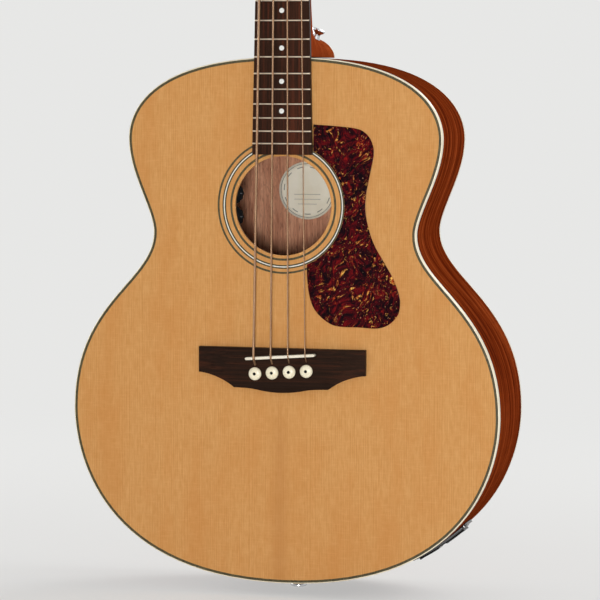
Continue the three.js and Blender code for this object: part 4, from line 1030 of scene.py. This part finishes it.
chrome = metal_finish("chrome_plate", tint(214, 215, 218), 0.09)
cover_screw = screw("cover_screw", 1.7, 0.9)
cover_screws = []
for x, z in ((-8, 6.5), (8, 6.5), (0, 42)):
    cover_screws.append(settle(copy_of(cover_screw, "cover_screw"), across_top(x, z)))
    settle(cover_screws[-1], shift((0, veneer_face - cover_thickness, 0)))
bpy.data.objects.remove(cover_screw)
fit(joined("cover_screws", cover_screws), chrome, "chrome", where=head)

# Bridge: a rosewood plate with a raised middle and thin wings, scalloped along its lower edge,
# glued to the soundboard, with a slanted slot for the saddle.
bridge_face = -8.3
bridge_half, bridge_top = 86, 3.4
wing_face = -5.3
saddle_slant = math.radians(4.1)
saddle_set = -4.9
string_spread = (-26.4, -8.8, 8.8, 26.4)


def bridge_outline(steps=14):
    curves = (
        ((-bridge_half, -22.4), (-78.2, -22.4), (-60, -27.2), (-48.5, -36.7)),
        ((-48.5, -36.7), (-41.5, -36.7), (-32, -36.9), (-23, -38.75)),
        ((-23, -38.75), (-8, -41.9), (8, -41.9), (23, -38.75)),
    )
    left = [bezier(curve, i / steps) for curve in curves[:2] for i in range(steps)]
    belly = [bezier(curves[2], i / (2 * steps)) for i in range(2 * steps + 1)]
    upper = [Vector((-bridge_half, bridge_top)), Vector((bridge_half, bridge_top))]
    return [upper[0], *left, *belly, *mirrored(left), upper[1]]


def stadium(length, thickness, steps=10):
    """A bar's outline with half-round ends."""
    reach = (length - thickness) / 2
    outline = []
    for side in (1, -1):
        for i in range(steps + 1):
            x, z = on_circle(thickness / 2, math.pi * (i / steps - 0.5))
            outline.append((side * (reach + x), side * z))
    return outline


on_saddle_line = shift((0, 0, saddle_set)) @ Matrix.Rotation(-saddle_slant, 4, "Y")
bridge = plate("bridge_plate_wood", bridge_outline(), bridge_face, -bridge_face)
profile = plate(
    "bridge_profile",
    [(-87, 1), (87, 1), (87, wing_face), (52, bridge_face), (-52, bridge_face), (-87, wing_face)],
    -60,
    80,
)
depth_for_height = Matrix(((1, 0, 0, 0), (0, 0, 1, 0), (0, 1, 0, 0), (0, 0, 0, 1)))
settle(profile, depth_for_height)
carve(bridge, profile, "INTERSECT")
carve(bridge, settle(plate("slot", stadium(73, 3.5), -20, 16), on_saddle_line))
soften(bridge, 0.55, angle=35)
bridge_tones = (tint(24, 17, 13), tint(35, 25, 20), tint(68, 37, 25))
bridge_grain = {"along": "X", "figure": 0.55, "broad": 50, "Specular_IOR_Level": 0.14}
bridge_rosewood = wood_finish("bridge_rosewood", *bridge_tones, **rosewood_look, **bridge_grain)
fit(bridge, bridge_rosewood, "dark_wood", "bridge")

# Saddle and pickup strip: a bone bar, 3 mm thick, rounded over and slanted so that the thick
# strings are longer, on a thin black strip that picks up the sound.
saddle_length, saddle_thickness, saddle_top = 72, 3, 13
saddle = plate("saddle_bar", stadium(saddle_length, saddle_thickness), -saddle_top, 9.1)
soften(saddle, 1.1, 4)
fit(saddle, bone, "bone", "saddle", where=instrument @ on_saddle_line)
black_plastic = plastic_finish(
    "black_plastic", tint(10, 10, 11), tint(19, 19, 20), Roughness=0.5, Specular_IOR_Level=0.04
)
coat_solid(black_plastic, "saddle_pickup")

# Bridge pins: cream plastic with a domed head and a dark dot, pushed into the bridge over the
# string's ball.
pin_radius = 6.5
pin_profile = [(0, -3), (1.25, -2.98), (3.2, -2.8), (4.9, -2.35), (6, -1.6), (pin_radius, -0.7)]
pin_profile += [(pin_radius, 0), (4, 0.05), (3.9, 8), (3.3, 27.5), (2.4, 28), (0, 28)]
pin_cream = plastic_finish("pin_plastic", tint(232, 221, 190), tint(246, 239, 214), Roughness=0.28)
pin_master = turned("pin", pin_profile)
dot_master = turned("pin_dot", [(0, -3.08), (1.4, -3.06), (1.6, -2.92), (1.6, -2), (0, -2)], 28)


def pin_spot(x):
    return Vector((x, -20.6 + x * math.tan(saddle_slant)))


for number, x in enumerate(string_spread, 1):
    spot = pin_spot(x)
    where = instrument @ shift((spot.x, bridge_face, spot.y)) @ inwards
    pin = copy_of(pin_master, f"bridge_pin_head_{number}")
    fit(pin, pin_cream, "bone", f"bridge_pin_{number}", where=where)
    dot = copy_of(dot_master, f"bridge_pin_dot_{number}")
    fit(dot, black_plastic, "black_plastic", where=where)
bpy.data.objects.remove(pin_master)
bpy.data.objects.remove(dot_master)

# Pickguard: a 1.3 mm sheet of tortoise-pattern plastic with a bevelled edge, stuck to the
# soundboard from the fretboard round the soundhole to beside the bridge.
guard_shares = (
    (0.291, 0.993), (0.511, 0.982), (0.613, 0.963), (0.686, 0.921), (0.714, 0.861), (0.68, 0.771),
    (0.635, 0.663), (0.626, 0.587), (0.65, 0.512), (0.718, 0.415), (0.835, 0.32), (0.923, 0.248),
    (0.985, 0.174), (1, 0.124), (0.976, 0.067), (0.881, 0.02), (0.757, 0), (0.56, 0.003),
    (0.374, 0.004), (0.26, 0.016), (0.144, 0.054), (0.065, 0.102), (0.019, 0.174), (0.001, 0.254),
)
guard_left, guard_foot, guard_width, guard_height, guard_arc = 24.8, 25, 95, 201, 63


def flowing(spots, steps=6):
    """A smooth line through spots."""
    line = []
    spots = [spots[0], *spots, spots[-1]]
    for before, here, there, after in zip(spots, spots[1:], spots[2:], spots[3:]):
        curve = (here, here + (there - before) / 6, there - (after - here) / 6, there)
        line += [bezier(curve, step / steps) for step in range(steps)]
    return line + [spots[-1]]


def guard_outline():
    beside_board = board_width(board_end) / 2 + 0.3
    foot, size = Vector((guard_left, guard_foot)), Vector((guard_width, guard_height))
    spots = [foot + size * Vector(share) for share in guard_shares]
    low, high = -math.acos(guard_left / guard_arc), math.acos(beside_board / guard_arc)
    arc = []
    for i in range(41):
        x, z = on_circle(guard_arc, low + (high - low) * i / 40)
        arc.append(Vector((x, hole_height + z)))
    return [Vector((beside_board, guard_foot + guard_height)), *flowing(spots), *arc]


def tortoise_finish():
    """Burgundy and black stirred in streaks, with red patches, amber strokes and small painted
    glints, polished.
    """
    shell = Finish("tortoise_shell", Roughness=0.1, Specular_IOR_Level=0.05)
    place = shell.place()
    swerve = shell.add("TexNoise", {"Vector": place, "Scale": 24, "Detail": 2}, out=1)
    swerve = shell.add("VectorMath", {0: swerve, 1: (0.04, 0.0, 0.04)}, operation="MULTIPLY")
    stirred = shell.add("VectorMath", {0: place, 1: swerve}, operation="ADD")
    slanted = shell.add("Mapping", {"Vector": stirred, "Rotation": (0, math.radians(-30), 0)})
    streaked = shell.stretch(slanted, (1.6, 1, 0.85))
    swirl = shell.noise(streaked, 130, 7, 0.76, 0.5)
    body = shell.ramp(
        swirl,
        (0.42, tint(14, 3, 8)),
        (0.5, tint(54, 5, 12)),
        (0.58, tint(91, 9, 15)),
        (0.68, tint(136, 23, 18)),
    )
    fleck = shell.noise(shell.stretch(streaked, (1, 1, 1), (3, 1, 7)), 200, 6, 0.7, 0.7)
    patches = shell.noise(slanted, (34, 1, 22), 2)
    clusters = shell.ranged(patches, 0.38, 0.54, 0.25, 1.0)
    amber = shell.times(shell.ranged(fleck, 0.575, 0.625, 0.0, 0.95), clusters)
    warmth = shell.ranged(shell.noise(place, 260, 3), 0.35, 0.65)
    warm = shell.mix(warmth, tint(176, 60, 20), tint(238, 180, 86))
    dark = shell.noise(shell.stretch(streaked, (1, 1, 1), (9, 4, 2)), 210, 6, 0.68, 0.7)
    colour = shell.mix(amber, body, warm)
    # Small cream-pink specks are painted glints: highlights put into the shell's colour.
    glint_pattern = shell.noise(shell.stretch(place, (1, 1, 1), (5, 8, 1)), 420, 2)
    painted_glints = shell.ranged(glint_pattern, 0.68, 0.74, 0.0, 0.5)
    colour = shell.mix(painted_glints, colour, tint(206, 150, 116))
    black = shell.ranged(dark, 0.53, 0.59, 0.0, 0.88)
    shell.set(Base_Color=shell.mix(black, colour, tint(14, 3, 9)))
    return shell


guard = plate("tortoise_guard", guard_outline(), -1.3, 1.28)
soften(guard, 0.45, 2)
fit(guard, tortoise_finish(), "tortoise_plastic", "pickguard")

# Tuners: each has a chrome plate with two ears screwed to the headstock's back, a worm and key
# between the ears, and a gear on a slotted post that comes out through a bushing in the face.
post_spots = ((-27, 50), (-27, 120), (27, 120), (27, 50))
plate_thickness = 1.5
plate_front = head_thickness + 0.3
plate_rear = plate_front + plate_thickness
worm_radius = 2.8
gear_radius = 9.4
gear_teeth = 16
gear_thickness = 4
worm_depth = plate_rear + 0.3 + worm_radius
worm_drop = gear_radius + 0.6 + worm_radius
ear_reach = 7.3
sideways = Matrix.Rotation(math.pi / 2, 4, "Y")


def rounded_box(width, height, corner, steps=6):
    """Outline of a rectangle with round corners, about its middle."""
    outline = []
    for quarter, (sx, sz) in enumerate(((1, 1), (-1, 1), (-1, -1), (1, -1))):
        for i in range(steps + 1):
            x, z = on_circle(corner, math.pi / 2 * (quarter + i / steps))
            outline.append((sx * (width / 2 - corner) + x, sz * (height / 2 - corner) + z))
    return outline


def tuner_plate():
    base = plate("base", rounded_box(24, 32, 3), plate_front, plate_thickness)
    parts = [soften(settle(base, shift((0, 0, -3.5))), 0.35)]
    ear_end = worm_depth + 4
    ear_middle = (plate_rear + ear_end) / 2
    for side in (-1, 1):
        ear = plate("ear", rounded_box(8, ear_end - plate_rear, 2.2), -1.2, 2.4)
        across = (0, side, 0, side * ear_reach)
        turn = Matrix((across, (0, 0, 1, ear_middle), (1, 0, 0, -worm_drop), (0, 0, 0, 1)))
        soften(ear, 0.3)
        parts.append(edit(settle(ear, turn), face_outwards))
    for x in (-9.2, 9.2):
        for z in (8.6, -15.8):
            outwards = Matrix.Rotation(math.pi / 2, 4, "X")
            place = shift((x, plate_rear, z)) @ outwards
            parts.append(settle(screw("plate_screw", 1.9, 1.0), place))
    return joined("tuner_plate_master", parts)


def tuner_post():
    """Post with its waist, cap, slot and gear; heights run back from the headstock's face."""
    profile = [(0, 22.4), (3.2, 22.4), (4, 21.8), (4, -4.4), (5.4, -4.4), (5.4, -5), (5, -5.6)]
    profile += [(4.75, -10), (5, -15), (5.6, -17.6), (6, -18.4), (6, -19.4)]
    profile += [(5.2, -20.4), (0, -20.5)]
    post = turned("post", profile)
    carve(post, block("slot", (-1.5, -9, -22), (1.5, 9, -15.5)))
    carve(post, rod(1.6, -21, -8, Matrix.Identity(4), 24))
    soften(post, 0.2, 2, 50)
    teeth = []
    for k in range(gear_teeth):
        for turn, height in ((0, 0), (0.22, 0.15), (0.36, 1), (0.64, 1), (0.78, 0.15)):
            angle = 2 * math.pi * (k + turn) / gear_teeth
            teeth.append(on_circle(9.35 - 1.3 * (1 - height), angle))
    wheel = plate("gear", teeth, worm_depth - gear_thickness / 2, gear_thickness)
    soften(wheel, 0.15, 1)
    settle(post, inwards)
    return joined("tuner_post_master", [post, wheel])


def oval(centre, first, second, sides):
    """A ring of places round a centre, given its two half axes."""
    turns = [2 * math.pi * side / sides for side in range(sides)]
    return [centre + first * math.cos(turn) + second * math.sin(turn) for turn in turns]


def tuner_key():
    """Worm, shaft and button along X, out to the headstock's edge."""
    axle = shift((0, worm_depth, -worm_drop))
    profile = [(0, -10.3), (2.4, -10.3), (2.8, -9.9), (2.8, -8.9), (2, -8.7), (2, 12.2)]
    profile += [(3.4, 12.4), (3.4, 14), (2.7, 15.4), (2.7, 17.4), (3.4, 18.6), (3.4, 20), (0, 20)]
    parts = [settle(turned("shaft", profile, 32), axle @ sideways)]
    helix = []
    worm_turns, steps, thread_length, thread_radius = 4, 24, 10, 2.1
    for k in range(worm_turns * steps + 1):
        angle = 2 * math.pi * k / steps
        along = thread_length / 2 - thread_length * k / (worm_turns * steps)
        centre = Vector((along, *on_circle(thread_radius, angle)))
        out = Vector((0, *on_circle(1, angle)))
        helix.append(oval(centre, out * 0.68, Vector((0.8, 0, 0)), 6))
    parts.append(settle(skin("thread", helix), axle))
    widths = (0.3, 0.74, 0.95, 1, 0.97, 0.82, 0.5)
    thicks = (0.8, 0.95, 1, 1, 0.92, 0.75, 0.5)
    rings = []
    for k, (wide, thick) in enumerate(zip(widths, thicks)):
        centre = Vector((19 + 4 * k, worm_depth, -worm_drop))
        rings.append(oval(centre, Vector((0, 0, 13.5 * wide)), Vector((0, 4 * thick, 0)), 16))
    button = skin("button", rings)
    modify(button, "SUBSURF", levels=2, render_levels=2)
    bpy.ops.object.shade_smooth()
    parts.append(button)
    return joined("tuner_key_master", parts)


masters = {"plate": tuner_plate(), "post": tuner_post(), "key": tuner_key()}
bushing_profile = [(0, 0.2), (7, 0.2), (7, -1.2), (6.4, -1.9), (5.5, -2.1), (5.2, -2.1), (0, -1.9)]
masters["bushing"] = turned("tuner_bushing_master", bushing_profile)
for number, (x, z) in enumerate(post_spots, 1):
    where = head @ shift((x, 0, z))
    base = copy_of(masters["plate"], f"tuner_base_{number}")
    fit(base, chrome, "chrome", f"tuner_plate_{number}", where=where)
    ring = copy_of(masters["bushing"], f"tuner_bushing_{number}")
    fit(ring, chrome, "chrome", where=where @ shift((0, veneer_face - 0.3, 0)) @ inwards)
    post = copy_of(masters["post"], f"tuner_spindle_{number}")
    fit(post, chrome, "chrome", f"tuner_post_{number}", body=f"post_{number}", where=where)
    key = copy_of(masters["key"], f"tuner_button_{number}")
    towards = where @ Matrix.Scale(math.copysign(1, x), 4, (1, 0, 0))
    fit(key, chrome, "chrome", f"tuner_key_{number}", body=f"key_{number}", where=towards)
for master in masters.values():
    bpy.data.objects.remove(master)

# Strings: bronze wire wound on steel cores, 2.5 to 1.15 mm thick, each from its ball under the
# bridge plate over the saddle and the nut to a winding of a little over two turns on its post.
string_diameters = (2.5, 2.0, 1.6, 1.15)
nut_spread = (-15.3, -5.1, 5.1, 15.3)
nut_rest = 8.3
winding_turns = 2.4
winding_start = 4.7
ball_depth = 10


def corner(before, at, after, radius=2.5, steps=6):
    """A rounded bend at a place between two others."""
    start = at + (before - at).normalized() * radius
    end = at + (after - at).normalized() * radius
    shares = [i / steps for i in range(steps + 1)]
    return [start.lerp(at, share).lerp(at.lerp(end, share), share) for share in shares]


def winding(i, nut_place):
    """The turns round a post, from where the string meets it to its end."""
    radius = string_diameters[i] / 2
    turn_radius = 5.3 + radius
    x, z = post_spots[i]
    side = math.copysign(1, x)
    off = Vector((nut_place.x - x, nut_place.z - z))
    start = math.atan2(off.y, off.x) - side * math.acos(turn_radius / off.length)
    steps = 48
    places = []
    for step in range(int(winding_turns * steps) + 1):
        turns = step / steps
        angle = start - side * turns * 2 * math.pi
        depth = -(winding_start + radius) - (2 * radius + 1) * turns
        across, up = on_circle(turn_radius, angle)
        places.append(Vector((x + across, depth, z + up)))
    return places


def string_route(i):
    radius = string_diameters[i] / 2
    pin = pin_spot(string_spread[i])
    up = pin.y + 4.3 + radius
    slope = math.tan(saddle_slant)
    ball = Vector((pin.x, ball_depth, up))
    ramp = Vector((pin.x, -4, up))
    over_saddle = Vector((pin.x, -(saddle_top + radius), saddle_set + pin.x * slope))
    over_nut = Vector((nut_spread[i], -(nut_rest + radius), nut_foot + 2.5))
    turns = [head_turn @ place for place in winding(i, head_turn.inverted() @ over_nut)]
    route = [ball, *corner(ball, ramp, over_saddle), *corner(ramp, over_saddle, over_nut)]
    return route + corner(over_saddle, over_nut, turns[0]) + turns


def cord(route, radius, sides=14):
    """A round cord along a route, its section turned as little as possible."""
    rings = []
    across = Vector((1, 0, 0))
    for k, place in enumerate(route):
        along = (route[min(k + 1, len(route) - 1)] - route[max(k - 1, 0)]).normalized()
        across = (across - along * across.dot(along)).normalized()
        rings.append(oval(place, across * radius, along.cross(across) * radius, sides))
    return skin("cord", rings)


def wound_finish(name, pitch):
    """Bronze wrap wire, its turns as fine ridges along the string, with painted shade in the
    grooves between them.
    """
    wound = Finish(name, Metallic=0.85)
    place = wound.place("UV")
    parts = wound.parts(place)
    slanted = wound.plus(parts["Y"], wound.times(parts["X"], 0.12))
    ridge = wound.math("SINE", wound.times(slanted, 2 * math.pi / pitch))
    groove_shade = wound.ranged(ridge, -1, 1)
    tarnish = wound.noise(wound.place(), 90, 4, 0.6)
    bronze = wound.mix(wound.ranged(tarnish, 0.35, 0.7), tint(204, 168, 134), tint(184, 146, 112))
    # The grooves between the turns are painted darker, as shade, and are rougher than the crests.
    wound.set(
        Base_Color=wound.mix(groove_shade, tint(118, 84, 60), bronze),
        Roughness=wound.ranged(groove_shade, 0, 1, 0.5, 0.3),
        Normal=wound.bump(ridge, pitch / 8, 0.6),
    )
    return wound


ball_profile = [(1.2, -3.5), (3, -3.5), (3.4, -3), (3.4, 3), (3, 3.5), (1.2, 3.5), (1.2, -3.5)]
for i, diameter in enumerate(string_diameters):
    string = cord(string_route(i), diameter / 2)
    stop = turned("ball", ball_profile, 28)
    pin = pin_spot(string_spread[i])
    place = shift((pin.x, ball_depth, pin.y + 7.7))
    settle(stop, place @ sideways)
    whole = joined(f"wound_string_{i + 1}", [string, stop])
    bronze = wound_finish(f"bronze_wrap_{i + 1}", diameter / 5000)
    fit(whole, bronze, "bronze_string", f"string_{i + 1}")

# Strap button: a turned chrome button with a waist for the strap's hole, screwed square to the
# heel's treble side.


def heel_spot(angle, depth):
    across, rise = heel_bow(angle)
    return Vector((heel_half(depth) * across, depth, heel_face + heel_reach(depth) * rise))


button_angle = math.radians(62)
button_depth = 80
button_spot = heel_spot(button_angle, button_depth)
down = heel_spot(button_angle, button_depth + 2.5) - button_spot
over = heel_spot(button_angle + 0.05, button_depth) - button_spot
outwards = down.cross(over).normalized()
button_profile = [(0, 0), (5, 0), (5, 0.9), (4.1, 2.4), (3.8, 4.4), (4.1, 6), (6, 7.6), (6.9, 8.5)]
button_profile += [(7, 9.2), (6.6, 10.2), (5.4, 10.9), (3.2, 10.95), (2.9, 10.4), (0, 10.3)]
button_turn = outwards.to_track_quat("Z", "Y").to_matrix().to_4x4()
strap_button = turned("heel_button", button_profile)
where = instrument @ shift(button_spot + outwards * 0.3) @ button_turn
fit(strap_button, chrome, "chrome", "strap_button", where=where)

# End pin: a chrome barrel through the tail block that holds a strap outside and takes a lead's plug
# in its socket, with a collar against the side and a nut inside.
nut_seat = 22.8
pin_shape = [(0, 21), (3.25, 21), (3.25, -12.6), (3.7, -13), (7.7, -13), (8.5, -12.2), (8.5, -10.2)]
pin_shape += [(8.1, -9.6), (6.8, -8.6), (6.2, -7.4), (6.2, -2.6), (6.8, -2), (9.2, -1.6), (10, -1)]
pin_shape += [(10, -0.05), (6, -0.05), (6, nut_seat), (9, nut_seat), (9, nut_seat + 3)]
pin_shape += [(6, nut_seat + 3), (6, nut_seat + 12), (0, nut_seat + 12)]
end_pin = turned("end_pin_barrel", pin_shape, 56)
where = instrument @ shift((0, pin_depth, body_bottom))
fit(end_pin, chrome, "chrome", "end_pin_jack", where=where)

# Preamp: a black housing glued under the soundboard at the bass edge of the hole, with two
# scalloped thumbwheels, for volume and tone, that stand into the hole.
wheel_x = -54.6
wheel_front = 7.8
wheel_radius, scallop_depth = 11, 0.7
wheel_spots = (("volume", hole_height + 11.7), ("tone", hole_height - 11.7))
housing = block("preamp_housing", (-68, 3.05, hole_height - 24.5), (-52, 16.3, hole_height + 24.5))
soften(housing, 1)
for _, z in wheel_spots:
    carve(housing, rod(11.4, 7.4, 12.2, across_top(wheel_x, z), 48))
fit(housing, black_plastic, "black_plastic", "preamp")
mark_paint = fine_finish("mark_paint", tint(84, 86, 90), tint(104, 106, 110), **inlay_shine)
for name, z in wheel_spots:
    scallops = []
    for k in range(96):
        angle = 2 * math.pi * k / 96
        dip = (0.5 - 0.5 * math.cos(12 * angle)) ** 2
        scallops.append(on_circle(wheel_radius - scallop_depth * dip, angle))
    wheel = soften(plate("wheel", scallops, wheel_front, 4), 0.4, 2)
    hub = turned("hub", [(0, -0.35), (7.6, -0.35), (8, -0.05), (8, 0.3), (0, 0.3)], 40)
    settle(hub, shift((0, wheel_front, 0)) @ inwards)
    where = instrument @ shift((wheel_x, 0, z))
    whole = joined(f"{name}_thumbwheel", [wheel, hub])
    fit(whole, black_plastic, "black_plastic", f"{name}_wheel", body=name, where=where)
    mark = block(f"{name}_mark", (8.3, 7.68, -0.35), (10.3, 7.9, 0.35))
    fit(mark, mark_paint, "black_plastic", body=name, where=where)

# Battery box: a black plastic frame and pocket let into the side, a drawer that slides out of it
# with a finger lip, and the 9 volt battery that lies in the drawer, a plain steel can under dark
# paint, finely scratched along its length.
seat = instrument @ battery_seat
box_face = 2.3
side_curve = 235
bend_step = 4
tray_width, tray_length = 19.3, 55.5


def side_plate(name, width, length, corner, start, end):
    """A rounded plate flat on the side: length along Z, width along Y, from one X to another."""
    piece = plate(name, rounded_box(width, length, corner), 0, end - start)
    across = Matrix(((0, 1, 0, start), (1, 0, 0, 0), (0, 0, 1, 0), (0, 0, 0, 1)))
    return edit(settle(piece, across), face_outwards)


def follow_side(piece):
    """Cuts a flat plate across its length and bends it to the side's curve."""
    for i in range(-8, 9):
        edit(piece, lambda: bpy.ops.mesh.bisect(plane_co=(0, 0, bend_step * i), plane_no=(0, 0, 1)))
    for vertex in piece.data.vertices:
        vertex.co.x -= vertex.co.z**2 / (2 * side_curve)


frame_plate = side_plate("battery_frame", 32, 68, 4, -0.6, box_face)
carve(frame_plate, centred("opening", -5, 10, pocket_width, pocket_length))
soften(frame_plate, 0.5)
follow_side(frame_plate)
shell = centred("battery_shell", -30.1, 1, 22.9, 59.1)
carve(shell, centred("room", -pocket_depth, 10, pocket_width, pocket_length))
box = joined("battery_case", [frame_plate, shell])
gloss_case = plastic_finish(
    "case_plastic", tint(16, 16, 17), tint(24, 24, 25), Roughness=0.22, Coat_Weight=0.3
)
fit(box, gloss_case, "black_plastic", "battery_box", where=seat)
tray = centred("drawer_tray", -28.3, 3.2, tray_width, tray_length)
carve(tray, block("pocket", (-27.1, -8.45, -26.55), (0, 20, 26.55)))
lid = side_plate("drawer_face", tray_width, tray_length, 1.2, box_face, 4.3)
carve(lid, rod(9, -30, 30, shift((11.6, 0, 0)) @ inwards))
soften(lid, 0.4)
follow_side(lid)
drawer = joined("battery_tray", [tray, lid])
fit(drawer, gloss_case, "black_plastic", "battery_drawer", body="drawer", where=seat)
scratches = {"scale": (900, 900, 60), "detail": 4, "low": 0.3, "depth": 0.000006}
dark_can = fine_finish(
    "battery_can", tint(36, 38, 44), tint(58, 61, 68), **scratches, Metallic=0.6, Roughness=0.32
)
cell = block("cell", (-26.8, -8.15, -26.25), (-0.3, 9.35, 22.25))
soften(cell, 1.2)
fit(cell, dark_can, "steel", "battery", body="drawer", where=seat)
stud_shape = [(0, 22.2), (2.8, 22.2), (2.8, 23.6), (2.4, 24.5), (1.6, 24.6), (1.6, 23.4), (0, 23.4)]
terminals = []
for way in (-1, 1):
    stud = turned("stud", stud_shape, 24 if way > 0 else 6)
    terminals.append(settle(stud, shift((-13.55 + way * 6.35, 0.6, 0))))
fit(joined("battery_terminals", terminals), nickel, "steel", body="drawer", where=seat)

# Studio: a wide pale floor that fades into the same pale surround, so that it keeps the shadow and
# has no horizon, and soft lamps in front, beside and behind.
pale = (0.8, 0.8, 0.79, 1)
bpy.ops.mesh.primitive_circle_add(vertices=96, radius=14, fill_type="NGON")
floor = bpy.context.object
floor.name = floor.data.name = "floor"
ground = Finish("studio_floor", Roughness=0.9)
ground.set(Base_Color=pale)
glow = ground.add("Emission", {"Color": pale, "Strength": 1.0})
distance = ground.add("VectorMath", {0: ground.place()}, out="Value", operation="LENGTH")
far = ground.ranged(distance, 0.5, 1.6, 0.55, 1.0)


def seen(nodes):
    """1 on rays of the camera, also off a gloss or through glass, and 0 on the others."""
    rays = nodes.add("LightPath", {}, out="Is Camera Ray").node.outputs
    share = nodes.math("MAXIMUM", rays["Is Camera Ray"], rays["Is Glossy Ray"])
    return nodes.math("MAXIMUM", share, rays["Is Transmission Ray"])


share = ground.times(far, seen(ground))
mixed = ground.add("MixShader", {0: share, 1: ground.shader.outputs[0], 2: glow})
ground.feed(ground.tree.nodes["Material Output"].inputs["Surface"], mixed)
floor.data.materials.append(ground.material)

world = bpy.data.worlds.new("studio")
bpy.context.scene.world = world
world.use_nodes = True
sky = Nodes(world.node_tree)
sky.tree.nodes.remove(sky.tree.nodes["Background"])
soft = sky.add("Background", {"Color": (1, 0.99, 0.97, 1), "Strength": 0.26})
surround = sky.add("Background", {"Color": pale, "Strength": 1.0})
sky.feed(
    sky.tree.nodes["World Output"].inputs["Surface"],
    sky.add("MixShader", {0: seen(sky), 1: soft, 2: surround}),
)

lamps = (
    ("front", (0.62, -3.05, 0.29), 0.42, 50),
    ("key", (-2.0, -2.6, 2.3), 1.6, 8),
    ("fill", (2.4, -2.2, 1.4), 1.8, 6),
    ("treble_side", (3.0, 0.5, 2.4), 1.6, 34),
    ("bass_side", (-3.2, 0.5, 1.1), 1.6, 20),
    ("rim", (1.2, 2.6, 2.2), 1.6, 50),
    ("low_back", (-2.2, 2.2, 0.9), 1.6, 34),
)
lit_spot = Vector((0, 0, 0.4))
for name, place, size, power in lamps:
    lamp = bpy.data.lights.new(name, "AREA")
    lamp.size, lamp.energy = size, power
    stand = placed(name, lamp)
    stand.location = place
    stand.rotation_euler = (Vector(place) - lit_spot).to_track_quat("Z", "Y").to_euler()

# Camera: the photograph's view of the body, from a little to the treble side and above, with a
# long lens that was fitted to the frets, the bridge and the outline.
camera = placed("camera", bpy.data.cameras.new("camera"))
camera.data.lens = 171.2
camera.data.sensor_width = 36
back_way = Vector((0.25412, -0.96437, 0.07355)).normalized()
right_way = Vector((0.96695, 0.25498, 0.00235))
right_way = (right_way - back_way * right_way.dot(back_way)).normalized()
up_way = back_way.cross(right_way)
turn = Matrix((right_way, up_way, back_way)).transposed().to_4x4()
camera.matrix_world = shift((0.7389, -2.8021, 0.5073)) @ turn
camera.data.clip_end = 50
bpy.context.scene.camera = camera
bpy.context.scene.view_settings.view_transform = "Standard"
